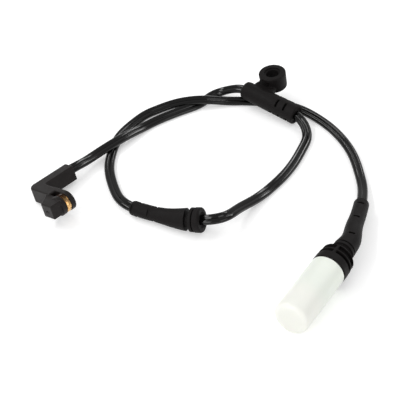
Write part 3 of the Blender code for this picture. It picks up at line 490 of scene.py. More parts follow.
def arc(centre: Point2, radius: float, start: float, end: float, steps: int) -> list[Point2]:
    """Points along an arc between two angles in radians, one more than its steps."""
    turns = [start + (end - start) * i / steps for i in range(steps + 1)]
    return [(centre[0] + radius * math.cos(t), centre[1] + radius * math.sin(t)) for t in turns]


def circle(radius: float, steps: int) -> list[Point2]:
    """A circle about the origin, without its last step."""
    return arc((0, 0), radius, 0, 2 * math.pi * (1 - 1 / steps), steps - 1)


def stations(
    radius: Callable[[float], float], first: float, last: float, steps: int
) -> list[Point2]:
    """(length, radius) pairs along a tube in even steps, without the first one."""
    lengths = [first + (last - first) * i / steps for i in range(1, steps + 1)]
    return [(length, radius(length)) for length in lengths]


def obround(width: float, height: float, steps: int) -> list[Point2]:
    """The outline of a slot with round ends.

    Args:
        width: Its length along X.
        height: Its height.
        steps: The steps of each end.

    Returns:
        The closed outline.
    """
    reach = (width - height) / 2
    right = arc((reach, 0.0), height / 2, -math.pi / 2, math.pi / 2, steps)
    return right + arc((-reach, 0.0), height / 2, math.pi / 2, 3 * math.pi / 2, steps)


def solid(
    name: str,
    points: Iterable[Sequence[float]],
    faces: Iterable[Sequence[int]],
    place: Matrix | None = None,
) -> Obj:
    """A mesh object with its place in its vertices.

    Args:
        name: Its name.
        points: Its vertices.
        faces: Its faces, as vertex numbers.
        place: The frame that the vertices are given in.

    Returns:
        The object, in the scene.
    """
    mesh = bpy.data.meshes.new(name)
    mesh.from_pydata([tuple(p) for p in points], [], [tuple(f) for f in faces])
    work = bmesh.new()
    work.from_mesh(mesh)
    bmesh.ops.recalc_face_normals(work, faces=work.faces)
    work.to_mesh(mesh)
    work.free()
    if place is not None:
        mesh.transform(place)
    made = bpy.data.objects.new(name, mesh)
    bpy.context.scene.collection.objects.link(made)
    return made


def skin(
    name: str, rings: Sequence[Sequence[Sequence[float]]], place: Matrix | None = None
) -> Obj:
    """A closed solid through rings of points; a ring of one point closes its end.

    Args:
        name: Its name.
        rings: The rings, each with the same number of points or with one.
        place: The frame that they are given in.

    Returns:
        The object.
    """
    points: list[Sequence[float]] = []
    starts = []
    for ring in rings:
        starts.append(len(points))
        points.extend(ring)
    faces: list[list[int]] = []
    for i in range(len(rings) - 1):
        a, b = len(rings[i]), len(rings[i + 1])
        count = max(a, b)
        for k in range(count):
            n = (k + 1) % count
            low = [starts[i] + k, starts[i] + n] if a > 1 else [starts[i]]
            high = [starts[i + 1] + n, starts[i + 1] + k] if b > 1 else [starts[i + 1]]
            faces.append(low + high)
    if len(rings[0]) > 1:
        faces.append([starts[0] + k for k in reversed(range(len(rings[0])))])
    if len(rings[-1]) > 1:
        faces.append([starts[-1] + k for k in range(len(rings[-1]))])
    return solid(name, points, faces, place)


def lathe(name: str, profile: Sequence[Point2], place: Matrix, steps: int = 96) -> Obj:
    """A solid turned about its own Z axis.

    Args:
        name: Its name.
        profile: (radius, height) pairs from one end of the axis to the other.
        place: Its frame.
        steps: The steps round it.

    Returns:
        The object.
    """
    rings = [[(x, y, height) for x, y in (circle(radius, steps) if radius > 0.0 else [(0.0, 0.0)])]
             for radius, height in profile]
    return skin(name, rings, place)


def prism(name: str, outline: Sequence[Point2], thickness: float, place: Matrix) -> Obj:
    """A flat outline in its frame's XY plane, thickened equally to both sides."""
    rings = [[(x, y, side * thickness / 2) for x, y in outline] for side in (-1, 1)]
    return skin(name, rings, place)


def box(name: str, low: Point3, high: Point3, place: Matrix) -> Obj:
    """A cutter with flat sides between two corners.

    Args:
        name: Its name.
        low: Its lowest corner.
        high: Its highest corner.
        place: Its frame.

    Returns:
        The object.
    """
    plan = [(low[0], low[1]), (high[0], low[1]), (high[0], high[1]), (low[0], high[1])]
    middle = Matrix.Translation((0.0, 0.0, (low[2] + high[2]) / 2))
    return prism(name, plan, high[2] - low[2], place @ middle)


def bevel(obj: Obj, width: float, segments: int = 3) -> Obj:
    """Round an object's sharp edges.

    Args:
        obj: The object.
        width: The rounding.
        segments: Its steps.

    Returns:
        The same object.
    """
    step = obj.modifiers.new("round", "BEVEL")
    step.width = width
    step.segments = segments
    step.limit_method = "ANGLE"
    step.angle_limit = ROUNDED_FROM
    return obj


def combine(obj: Obj, operation: str, *others: Obj) -> None:
    """Join other solids to an object or cut them away.

    Args:
        obj: The object that stays.
        operation: UNION or DIFFERENCE.
        others: The solids that are used up.
    """
    for other in others:
        step = obj.modifiers.new(other.name, "BOOLEAN")
        step.operation = operation
        step.solver = "EXACT"
        step.object = other


def settle(obj: Obj, edge: Edge) -> Obj:
    """Turn an object's modifiers into mesh and remove the solids that they used.

    Args:
        obj: The object.
        edge: How it is shaded.

    Returns:
        The same object.
    """
    bpy.context.view_layer.update()
    seen = obj.evaluated_get(bpy.context.evaluated_depsgraph_get())
    mesh = bpy.data.meshes.new_from_object(seen)
    used = [step.object for step in obj.modifiers if step.type == "BOOLEAN"]
    obj.modifiers.clear()
    obj.data = mesh
    for other in used:
        bpy.data.objects.remove(other)
    mesh.shade_smooth()
    if edge is Edge.CRISP:
        mesh.set_sharp_from_angle(angle=CRISP_FROM)
    return obj


def moulded(obj: Obj, voxel: float, passes: int, keep: float) -> Obj:
    """Blend the joins of an object as its mould would, with every edge slightly soft.

    Args:
        obj: The object, with its Booleans.
        voxel: The size below which shapes blend.
        passes: How often the surface is eased.
        keep: The share of its triangles that stays.

    Returns:
        The same object.
    """
    blend = obj.modifiers.new("blend", "REMESH")
    blend.mode = "VOXEL"
    blend.voxel_size = voxel
    ease = obj.modifiers.new("ease", "SMOOTH")
    ease.factor = 0.5
    ease.iterations = passes
    thin = obj.modifiers.new("thin", "DECIMATE")
    thin.ratio = keep
    return settle(obj, Edge.MOULDED)


def heading(turn: float, pitch: float = 0.0) -> Vector:
    """The direction with a heading from +X and a pitch above the level, in radians."""
    level = math.cos(pitch)
    return Vector((math.cos(turn) * level, math.sin(turn) * level, math.sin(pitch)))


def axes(place: Vector, forward: Vector) -> Matrix:
    """A frame with its X axis forward and its Z axis as near up as it can be.

    Args:
        place: Its origin.
        forward: Its direction.

    Returns:
        The frame.
    """
    x = forward.normalized()
    y = UP.cross(x).normalized()
    return Matrix.Translation(place) @ Matrix((x, y, x.cross(y))).transposed().to_4x4()


def turned_axes(place: Vector, forward: Vector) -> Matrix:
    """The same frame with its Z axis forward and its X axis up, for turned shapes."""
    return axes(place, forward) @ Matrix(((0, 0, 1), (0, -1, 0), (1, 0, 0))).to_4x4()


def cut_slots(
    obj: Obj,
    frame: Callable[[float], Matrix],
    radius: Callable[[float], float],
    depth: float,
    first_turn: float,
    rows: tuple[Sequence[float], Sequence[float]],
    span: float = 0.0046,
    width: float = 0.0012,
) -> None:
    """Cut flat-bottomed relief slots across a tube in opposite pairs.

    Args:
        obj: The tube.
        frame: Its frame at a length, with X along it and the length measured from its origin.
        radius: Its radius at a length.
        depth: The slots' depth.
        first_turn: The turn of the first pairs about the frame's X axis.
        rows: The lengths of the first pairs and of those a quarter turn from them.
        span: The slots' reach across the tube.
        width: The slots' width along it.
    """
    for quarter in range(4):
        turn = Matrix.Rotation(first_turn + quarter * math.pi / 2, 4, "X")
        for length in rows[quarter % 2]:
            low = (length - width / 2, -span / 2, radius(length) - depth)
            high = (length + width / 2, span / 2, radius(length) + depth)
            shift = Matrix.Translation((length, 0, 0))
            place = frame(length) @ shift @ turn @ shift.inverted()
            combine(obj, "DIFFERENCE", box("slot", low, high, place))


class Line:
    """A smooth line through given points, measured along its length."""

    def __init__(self, points: Sequence[Sequence[float]], share: int) -> None:
        """Draw the line.

        Args:
            points: The points that it passes.
            share: The straight steps from one point to the next.
        """
        self.share = share
        self.samples = self._smooth([Vector(p) for p in points], share)
        self.along = [0.0]
        for a, b in zip(self.samples, self.samples[1:]):
            self.along.append(self.along[-1] + (b - a).length)

    @staticmethod
    def _smooth(points: list[Vector], share: int) -> list[Vector]:
        """A centripetal curve through the points.

        Args:
            points: The points.
            share: The straight steps between two of them.

        Returns:
            The curve's samples.
        """
        given = [2 * points[0] - points[1], *points, 2 * points[-1] - points[-2]]
        made = []
        for p0, p1, p2, p3 in zip(given, given[1:], given[2:], given[3:]):
            t1 = math.sqrt((p1 - p0).length)
            t2 = t1 + math.sqrt((p2 - p1).length)
            t3 = t2 + math.sqrt((p3 - p2).length)
            for i in range(share):
                t = t1 + (t2 - t1) * i / share
                a1 = p0.lerp(p1, t / t1)
                a2 = p1.lerp(p2, (t - t1) / (t2 - t1))
                a3 = p2.lerp(p3, (t - t2) / (t3 - t2))
                b1 = a1.lerp(a2, t / t2)
                b2 = a2.lerp(a3, (t - t1) / (t3 - t1))
                made.append(b1.lerp(b2, (t - t1) / (t2 - t1)))
        made.append(points[-1].copy())
        return made

    def mark(self, index: int) -> float:
        """The length at a given point, counted from 0."""
        return self.along[index * self.share]

    def at(self, length: float) -> Vector:
        """The place at a length.

        Args:
            length: The length from the line's start.

        Returns:
            The place.
        """
        length = min(max(length, 0.0), self.along[-1])
        for i in range(1, len(self.along)):
            if self.along[i] >= length:
                share = (length - self.along[i - 1]) / (self.along[i] - self.along[i - 1])
                return self.samples[i - 1].lerp(self.samples[i], share)
        return self.samples[-1].copy()

    def way(self, length: float, reach: float = 0.0008) -> Vector:
        """The direction at a length."""
        return (self.at(length + reach) - self.at(length - reach)).normalized()


def fit(obj: Obj, finish: Finish, *nodes: str) -> Obj:
    """Put a finished piece on the sensor.

    Args:
        obj: The piece.
        finish: Its finish.
        nodes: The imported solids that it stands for.

    Returns:
        The piece.
    """
    obj.data.materials.clear()
    obj.data.materials.append(finish.material())
    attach(obj, "root")
    if nodes:
        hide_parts(*nodes)
    LOG.info("%s: %d faces, %s", obj.name, len(obj.data.polygons), finish.name)
    return obj


# The sensor's sub-assemblies


@dataclass
class SensingHead:
    """The L-shaped moulding with its grooved core, nose and spring clip, sizes in metres.

    The head's own frame has X along the leg, Y along the arm to the cable and Z up.
    """

    corner: Vector = field(default_factory=lambda: Vector((-0.0849, -0.0030, 0.0)))
    turn: float = math.radians(47.5)
    pitch: float = math.radians(2.0)
    roll: float = math.radians(17.0)
    arm_length: float = 0.0256
    arm_width: float = 0.0067
    arm_height: float = 0.0082
    corner_radius: float = 0.0040
    inner_radius: float = 0.0012
    leg_depth: float = 0.0066
    leg_back: float = 0.0062
    edge: float = 0.0006
    socket_depth: float = 0.0115
    flange_reach: float = 0.0243
    flange_radius: float = 0.0053
    flange_proud: float = 0.0002
    flange_thickness: float = 0.0027
    flange_back: float = 0.0068
    groove_width: float = 0.0029
    groove_radius: float = 0.0040
    rim_radius: float = 0.0051
    rim_thickness: float = 0.0026
    nose_width: float = 0.0082
    nose_height: float = 0.0074
    nose_length: float = 0.0058
    nose_lift: float = 0.0007
    web_reach: float = 0.0048
    mouth: Point2 = (0.0056, 0.0031)
    mouth_depth: float = 0.0008
    mark_width: float = 0.0024
    mark_height: float = 0.0009
    mark_depth: float = 0.0010
    clip_thickness: float = 0.00035
    clip_width: float = 0.0024
    clip_facet: float = math.radians(26)
    clip_facets: int = 9
    clip_start: float = math.radians(-75)
    clip_edge: float = 0.00008
    fold: float = 0.00028
    # The turn above the leg at which the clip's painted dark reflection starts, and the turn over
    # which it fades in
    dark_reflection_start: float = math.radians(8)
    dark_reflection_fade: float = math.radians(55)

    def frame(self) -> Matrix:
        """The head's own frame in the row frame.

        Returns:
            The frame.
        """
        way = heading(self.turn, self.pitch)
        side = Vector((math.sin(self.turn), -math.cos(self.turn), 0.0))
        stand = Matrix((side, way, side.cross(way))).transposed().to_4x4()
        return Matrix.Translation(self.corner) @ stand @ Matrix.Rotation(-self.roll, 4, "Y")

    def socket(self, length: float) -> Vector:
        """A place on the cable's axis, beyond the end of the arm."""
        end = Vector((self.arm_width / 2, self.arm_length + length, self.arm_height / 2))
        return self.frame() @ end

    @property
    def flange_height(self) -> float:
        """The height of the flange's middle."""
        return self.arm_height - self.flange_radius + self.flange_proud

    @property
    def flange_front(self) -> float:
        """Where the flange's front face is along the arm."""
        return self.flange_back - self.flange_thickness

    @property
    def rim_back(self) -> float:
        """Where the rim's back face is along the arm."""
        return self.flange_front - self.groove_width

    @property
    def rim_front(self) -> float:
        """Where the rim's front face is along the arm."""
        return self.rim_back - self.rim_thickness

    def _facing(self, x: float, y: float, z: float) -> Matrix:
        """The frame at a place in the head, turned to face along the arm."""
        return self.frame() @ Matrix.Translation((x, y, z)) @ Matrix.Rotation(math.pi / 2, 4, "X")

    def _plate(
        self, name: str, shape: Sequence[Point2], front: float, back: float, edge: float
    ) -> Obj:
        """A flat shape across the nose's axis.

        Args:
            name: Its name.
            shape: Its outline about that axis.
            front: Where it starts along the arm.
            back: Where it ends along the arm.
            edge: The rounding of its edges.

        Returns:
            The plate.
        """
        place = self._facing(self.flange_reach, (front + back) / 2, self.flange_height)
        made = prism(name, shape, back - front, place)
        return bevel(made, edge) if edge else made

    def housing(self) -> Obj:
        """The moulded head in one piece.

        Returns:
            The dressed head.
        """
        leg_reach = self.flange_reach - self.leg_back
        bend, hollow, soft = self.corner_radius, self.inner_radius, 0.5 * self.edge
        centre = (self.arm_width + hollow, self.leg_depth + hollow)
        plan = [*arc((bend, bend), bend, math.pi, 3 * math.pi / 2, 16),
                (leg_reach, 0.0), (leg_reach, self.leg_depth),
                *arc(centre, hollow, 3 * math.pi / 2, math.pi, 6),
                (self.arm_width, self.arm_length), (0.0, self.arm_length)]
        middle = Matrix.Translation((0, 0, self.arm_height / 2))
        body = bevel(prism("head_shell", plan, self.arm_height, self.frame() @ middle), self.edge)

        reach = self.flange_reach - leg_reach + self.flange_radius / 2
        flush = self.flange_radius - self.flange_proud
        flange = [(x - reach / 2, y) for x, y in obround(reach + 2 * flush, 2 * flush, 32)]
        core, rim = circle(self.groove_radius, 64), circle(self.rim_radius, 64)
        face = self.rim_front - self.nose_length
        combine(body, "UNION",
                self._plate("flange", flange, self.flange_front, self.flange_back, soft),
                self._plate("core", core, self.rim_front + FIT, self.flange_back - FIT, 0.0),
                self._plate("rim", rim, self.rim_front, self.rim_back, soft),
                self._nose(face))
        socket = self._facing(self.arm_width / 2, self.arm_length, self.arm_height / 2)
        combine(body, "DIFFERENCE", self._mark(face),
                prism("socket_mouth", obround(*self.mouth, 12), self.mouth_depth, socket))
        return fit(moulded(body, voxel=0.00016, passes=3, keep=0.45), HEAD_NYLON, "head_housing")

    def _nose(self, face: float) -> Obj:
        """The nose, with the web that flares from it to the leg's front.

        Args:
            face: Where the nose's face is along the arm.

        Returns:
            The nose.
        """
        near = self.flange_reach - self.nose_width / 2
        far = near + self.nose_width
        plan = [(near, face), (far, face), (far, self.rim_front + 0.3 * self.rim_thickness),
                (self.flange_reach, self.rim_back), (near - self.web_reach, self.rim_back),
                (near - self.web_reach, 0.0)]
        middle = Matrix.Translation((0, 0, self.flange_height + self.nose_lift))
        return bevel(prism("nose", plan, self.nose_height, self.frame() @ middle), 0.9 * self.edge)

    def _mark(self, face: float) -> Obj:
        """The cutter of the small arched gate mark sunk in the nose's face."""
        middle, radius = (0.0, -self.mark_width * 0.55), self.mark_width * 0.75
        near, far = math.radians(40), math.radians(140)
        outer = arc(middle, radius, far, near, 12)
        inner = arc(middle, radius - 0.6 * self.mark_height, near, far, 12)
        place = self._facing(self.flange_reach, face, self.flange_height + self.nose_lift)
        return prism("nose_mark", outer + inner, self.mark_depth, place)

    def clip(self) -> Obj:
        """The sprung strip of flat facets, folded in between them.

        Returns:
            The dressed clip.
        """
        radius = self.groove_radius + FIT + self.clip_thickness
        turns = [self.clip_start + self.clip_facet * i for i in range(self.clip_facets + 1)]
        bends = [Vector((math.cos(turn), math.sin(turn))) * radius / math.cos(self.clip_facet / 2)
                 for turn in turns]
        line = [bends[0]]
        for before, bend, after in zip(bends, bends[1:], bends[2:]):
            line.append(bend + (before - bend).normalized() * self.fold)
            line.append(bend * (1 - 0.9 * self.fold / bend.length))
            line.append(bend + (after - bend).normalized() * self.fold)
        line.append(bends[-1])
        rings = []
        for point, before, after in zip(line, [line[0], *line], [*line[1:], line[-1]]):
            ahead = (after - before).normalized()
            out = Vector((ahead.y, -ahead.x)) * self.clip_thickness / 2
            corners = ((point + out, -1), (point + out, 1), (point - out, 1), (point - out, -1))
            rings.append([(p.x, side * self.clip_width / 2, p.y) for p, side in corners])
        middle = (self.flange_front + self.rim_back) / 2
        place = self.frame() @ Matrix.Translation((self.flange_reach, middle, self.flange_height))
        strip = settle(bevel(skin("clip_strip", rings, place), self.clip_edge, 2), Edge.CRISP)
        # The facets turned upward from the leg get a painted dark brown reflection, fading in with
        # their turn
        back = place.inverted()
        spots = [back @ vertex.co for vertex in strip.data.vertices]
        film = [(math.atan2(spot.z, spot.x) - self.dark_reflection_start) / self.dark_reflection_fade for spot in spots]
        painted_dark_reflection = strip.data.attributes.new(CLIP_BRONZE.attribute, "FLOAT", "POINT")
        painted_dark_reflection.data.foreach_set("value", [min(max(share, 0.0), 1.0) for share in film])
        return fit(strip, CLIP_BRONZE, "spring_clip")


@dataclass
class TeeGrommet:
    """The grommet with the eyelet: a round body along the cable, a neck and a grooved eyelet."""

    inlet: Vector = field(default_factory=lambda: Vector((0.0259, 0.0859, 0.0089)))
    turn: float = math.radians(-38.3)
    pitch: float = math.radians(-3.4)
    length: float = 0.0360
    inlet_radius: float = 0.0052
    outlet_radius: float = 0.0057
    recess_radius: float = 0.0043
    recess_depth: float = 0.0007
    eyelet_along: float = 0.0104
    eyelet_out: float = 0.0124
    eyelet_up: float = 0.0057
    eyelet_radius: float = 0.0077
    eyelet_height: float = 0.0094
    bore_radius: float = 0.0036
    step_radius: float = 0.0046
    step_depth: float = 0.0010
    lean: Vector = field(default_factory=lambda: Vector((-0.147, -0.047, 0.988)))
    flange: float = 0.0022
    groove_height: float = 0.0026
    groove_radius: float = 0.0058
    groove_span: Point2 = (math.radians(170), math.radians(290))
    neck_length: float = 0.0120
    neck_drop: float = 0.0004
    edge: float = 0.0009
    slot_depth: float = 0.0019
    slot_turn: float = math.radians(38)
    slots: tuple[Sequence[float], Sequence[float]] = ((0.0243, 0.0295), (0.0217, 0.0270, 0.0321))

    def way(self) -> Vector:
        """The direction of the body."""
        return heading(self.turn, self.pitch)

    def outlet(self) -> Vector:
        """The middle of the outlet's end."""
        return self.inlet + self.length * self.way()

    def radius(self, length: float) -> float:
        """The body's radius at a length from its inlet."""
        growth = (self.outlet_radius - self.inlet_radius) * length
        return self.inlet_radius + growth / self.length

    def _eyelet_frame(self) -> Matrix:
        """The eyelet's frame, its Z axis along its bore.

        Returns:
            The frame.
        """
        body = axes(self.inlet, self.way())
        lean = body.inverted().to_3x3() @ self.lean.normalized()
        side = lean.cross(Vector((1, 0, 0))).normalized()
        stand = Matrix((side.cross(lean), side, lean)).transposed().to_4x4()
        place = Matrix.Translation((self.eyelet_along, self.eyelet_out, self.eyelet_up))
        return body @ place @ stand

    def moulding(self) -> Obj:
        """The tee in one piece.

        Returns:
            The dressed tee.
        """
        edge, end = self.edge, self.length
        profile = [
            (0.0, end - self.recess_depth), (self.recess_radius, end - self.recess_depth),
            (self.recess_radius, end), (self.outlet_radius - 0.4 * edge, end),
            (self.outlet_radius, end - 0.6 * edge), (self.radius(0.5 * end), 0.5 * end),
            (self.inlet_radius, 2.4 * edge), (self.inlet_radius - 0.3 * edge, 0.9 * edge),
            (self.inlet_radius - edge, 0.2 * edge), (self.inlet_radius - 1.6 * edge, 0.0),
            (0.0, 0.0),
        ]
        body = lathe("tee_grommet_moulding", profile, turned_axes(self.inlet, self.way()))
        place, top, far = self._eyelet_frame(), self.eyelet_height / 2, self.eyelet_height
        rim = self.eyelet_radius
        post = [(0.0, top), (rim - 0.5 * edge, top), (rim, top - 0.5 * edge),
                (rim, -top + 0.4 * edge), (rim - 0.4 * edge, -top), (0.0, -top)]
        combine(body, "UNION", self._neck(top), lathe("eyelet", post, place))
        step = top - self.step_depth
        bore = [(0.0, far), (self.step_radius, far), (self.step_radius, step),
                (self.bore_radius, step), (self.bore_radius, -far), (0.0, -far)]
        start, stop = self.groove_span
        sector = arc((0, 0), self.eyelet_radius + edge, start, stop, 24)
        sector += arc((0, 0), self.groove_radius, stop, start, 24)
        drop = Matrix.Translation((0, 0, top - self.flange - self.groove_height / 2))
        combine(body, "DIFFERENCE", lathe("eyelet_bore", bore, place),
                prism("eyelet_groove", sector, self.groove_height, place @ drop))
        cut_slots(body, lambda _: axes(self.inlet, self.way()), self.radius, self.slot_depth,
                  self.slot_turn, self.slots)
        return fit(moulded(body, voxel=0.00018, passes=4, keep=0.4), RUBBER, "tee_grommet")

    def _neck(self, top: float) -> Obj:
        """The web between the body and the eyelet.

        Args:
            top: Half the eyelet's height.

        Returns:
            The web.
        """
        under = self.eyelet_up + top - self.flange - self.groove_height - self.neck_drop
        low = self.eyelet_up - top + self.neck_drop
        out = self.eyelet_out
        tall = self.inlet_radius
        section = [(0.0, -0.3 * tall), (0.0, tall), (0.3 * out, tall), (0.6 * out, under),
                   (out, under), (out, low), (0.5 * out, low - self.neck_drop)]
        across = Matrix(((0, 0, 1), (1, 0, 0), (0, 1, 0))).to_4x4()
        middle = Matrix.Translation((self.eyelet_along, 0, 0))
        place = axes(self.inlet, self.way()) @ middle @ across
        return bevel(prism("neck", section, self.neck_length, place), 1.6 * self.edge, 4)


@dataclass
class PlugAxis:
    """The place of the plug, measured from its collar's face."""

    face: Vector = field(default_factory=lambda: Vector((0.0589, -0.0626, 0.0)))
    turn: float = math.radians(-122.35)
    collar_radius: float = 0.0086
    jacket_end: float = 0.0238
    collar_back: float = 0.0173

    def way(self) -> Vector:
        """The direction out of the collar."""
        return heading(self.turn)

    def on_axis(self, length: float) -> Vector:
        """A place on the plug's axis, ahead of the collar's face."""
        return self.face + Vector((0, 0, self.collar_radius)) + length * self.way()

    def frame(self) -> Matrix:
        """The frame of the plug's turned shapes."""
        return turned_axes(self.on_axis(0.0), self.way())


@dataclass
class CableRoute:
    """The listed run of the twin cable between the pieces that it passes."""

    head: SensingHead
    tee: TeeGrommet
    plug: PlugAxis
    head_to_tee: Sequence[Point3] = (
        (-0.0592, 0.0237, 0.0049), (-0.0551, 0.0297, 0.0048), (-0.0436, 0.0429, 0.0047),
        (-0.0276, 0.0619, 0.0016), (-0.0121, 0.0734, 0.0013), (0.0004, 0.0814, 0.0013),
        (0.0074, 0.0904, 0.0015), (0.0119, 0.0919, 0.0030), (0.0219, 0.0881, 0.0081),
    )
    tee_to_sleeve: Sequence[Point3] = (
        (0.0564, 0.0614, 0.0050), (0.0584, 0.0579, 0.0039), (0.0593, 0.0499, 0.0016),
        (0.0549, 0.0374, 0.0013), (0.0504, 0.0269, 0.0013), (0.0439, 0.0154, 0.0013),
        (0.0354, 0.0039, 0.0017), (0.0279, -0.0056, 0.0032), (0.0204, -0.0150, 0.0062),
        (0.0129, -0.0257, 0.0095), (0.0070, -0.0282, 0.0098),
    )
    through_sleeve: Sequence[Point3] = (
        (0.0026, -0.0269, 0.0083), (-0.0034, -0.0249, 0.0067), (-0.0151, -0.0211, 0.0051),
        (-0.0346, -0.0116, 0.0039),
    )
    sleeve_to_boot: Sequence[Point3] = (
        (-0.0389, -0.0069, 0.0033), (-0.0419, -0.0006, 0.0021), (-0.0469, 0.0179, 0.0013),
        (-0.0476, 0.0289, 0.0013), (-0.0442, 0.0492, 0.0013), (-0.0352, 0.0647, 0.0013),
        (-0.0288, 0.0722, 0.0014), (-0.0141, 0.0799, 0.0032), (-0.0001, 0.0810, 0.0050),
        (0.0209, 0.0842, 0.0016), (0.0394, 0.0829, 0.0014), (0.0499, 0.0799, 0.0013),
        (0.0596, 0.0744, 0.0013), (0.0734, 0.0577, 0.0013), (0.0816, 0.0374, 0.0013),
        (0.0841, 0.0144, 0.0016), (0.0838, 0.0039, 0.0026),
    )
    through_boot: Sequence[Point3] = (
        (0.0815, -0.0092, 0.0047), (0.0784, -0.0203, 0.0060), (0.0748, -0.0311, 0.0074),
    )

    straight: float = 0.0025

    def __post_init__(self) -> None:
        """Draw the line through every piece."""
        inside = -self.head.socket_depth + FIT
        socket = [self.head.socket(reach) for reach in (inside, 0.0, self.straight)]
        tee = [self.tee.inlet, self.tee.inlet.lerp(self.tee.outlet(), 0.5), self.tee.outlet()]
        plug = self.plug
        collar = [plug.on_axis(-back) for back in (plug.jacket_end, plug.collar_back)]
        before = [*socket, *self.head_to_tee, *tee, *self.tee_to_sleeve]
        route = [*before, *self.through_sleeve, *self.sleeve_to_boot, *self.through_boot, *collar]
        self.line = Line(route, share=12)
        self.sleeve_start = self.line.mark(len(before))
        self.jacket_end = self.line.mark(len(route) - 2)
        self.line_end = self.line.mark(len(route) - 1)

    def tube_frame(self, start: float, length: float) -> Matrix:
        """The frame of a tube that follows the cable, with its X as the length along it."""
        place = self.line.at(start + length)
        return axes(place, self.line.way(start + length)) @ Matrix.Translation((-length, 0, 0))

    def tube(
        self, name: str, start: float, outline: Sequence[Point2], steps: int = 96
    ) -> Obj:
        """A round tube along the cable.

        Args:
            name: Its name.
            start: Where it starts along the cable.
            outline: (length, radius) pairs from there.
            steps: The steps round it.

        Returns:
            The tube.
        """
        rings = []
        for length, radius in outline:
            frame = self.tube_frame(start, length)
            rings.append([frame @ Vector((length, y, z)) for y, z in circle(radius, steps)])
        return skin(name, rings)


@dataclass
class TwinCable:
    """The flat cable: two round cores side by side in one jacket, with a valley between them."""

    route: CableRoute
    core_radius: float = 0.00142
    core_offset: float = 0.00130
    valley: float = 0.00085
    valley_start: float = 0.55
    levels_over: float = 0.0200
    head_rise: float = 0.0015
    lean: float = math.radians(26)
    spacing: float = 0.0010
    easing: int = 18

    def _section(self) -> list[Point2]:
        """The jacket's outline, its long side along X.

        Returns:
            The closed outline, anticlockwise.
        """
        side, radius, steps = self.core_offset, self.core_radius, 17
        dip = math.acos(self.valley_start * side / radius)
        right = arc((side, 0.0), radius, dip - math.pi, math.pi - dip, steps)
        left = arc((-side, 0.0), radius, dip, 2 * math.pi - dip, steps)
        return [*right, (0.0, self.valley), *left, (0.0, -self.valley)]

    def _turn(self, way: Vector) -> float:
        """The jacket's turn about its run, in radians, where it runs a given way."""
        return -self.lean * way.x

    def _half_height(self, tilt: float) -> float:
        """Half the jacket's height at a turn."""
        return self.core_radius + self.core_offset * abs(math.sin(tilt))

    def _centre(self, length: float) -> Vector:
        """The jacket's centre before it is eased.

        Args:
            length: The length along the cable.

        Returns:
            The place, clear of the floor.
        """
        place = self.route.line.at(length)
        bow = 1.0 - (length - self.route.head.socket_depth) / self.levels_over
        lifted = place.z + self.head_rise * min(max(bow, 0.0), 1.0)
        place.z = max(lifted, self._half_height(self._turn(self.route.line.way(length))))
        return place

    def jacket(self) -> Obj:
        """The cable in one run, with its measures along and round it for its finish.

        Returns:
            The dressed cable.
        """
        section, end = self._section(), self.route.jacket_end
        around = [0.0]
        for a, b in zip(section, section[1:]):
            around.append(around[-1] + math.dist(a, b))
        count = round(end / self.spacing)
        lengths = [end * i / count for i in range(count + 1)]
        centres = [self._centre(length) for length in lengths]
        for _ in range(self.easing):
            inner = [(a + 2 * b + c) / 4 for a, b, c in zip(centres, centres[1:], centres[2:])]
            centres = [centres[0], *inner, centres[-1]]
        rings, run = [], []
        for i, length in enumerate(lengths):
            place = centres[i]
            way = (centres[min(i + 1, count)] - centres[max(i - 1, 0)]).normalized()
            right = way.cross(UP).normalized()
            over = right.cross(way)
            tilt = self._turn(way)
            place.z = max(place.z, self._half_height(tilt))
            wide = math.cos(tilt) * right + math.sin(tilt) * over
            thick = math.cos(tilt) * over - math.sin(tilt) * right
            rings.append([place + x * wide + y * thick for x, y in section])
            run.extend((length, way_round, 0.0) for way_round in around)
        cable = skin("twin_cable_jacket", rings)
        measures = cable.data.attributes.new(JACKET.attribute, "FLOAT_VECTOR", "POINT")
        measures.data.foreach_set("vector", [value for point in run for value in point])
        cable.data.shade_smooth()
        cable.data.set_sharp_from_angle(angle=DRAWN_FROM)
        fit(cable, JACKET, "twin_cable")
        tuple(self.route.head.socket(0.0))
        [tuple(place) for place in centres]
        return cable


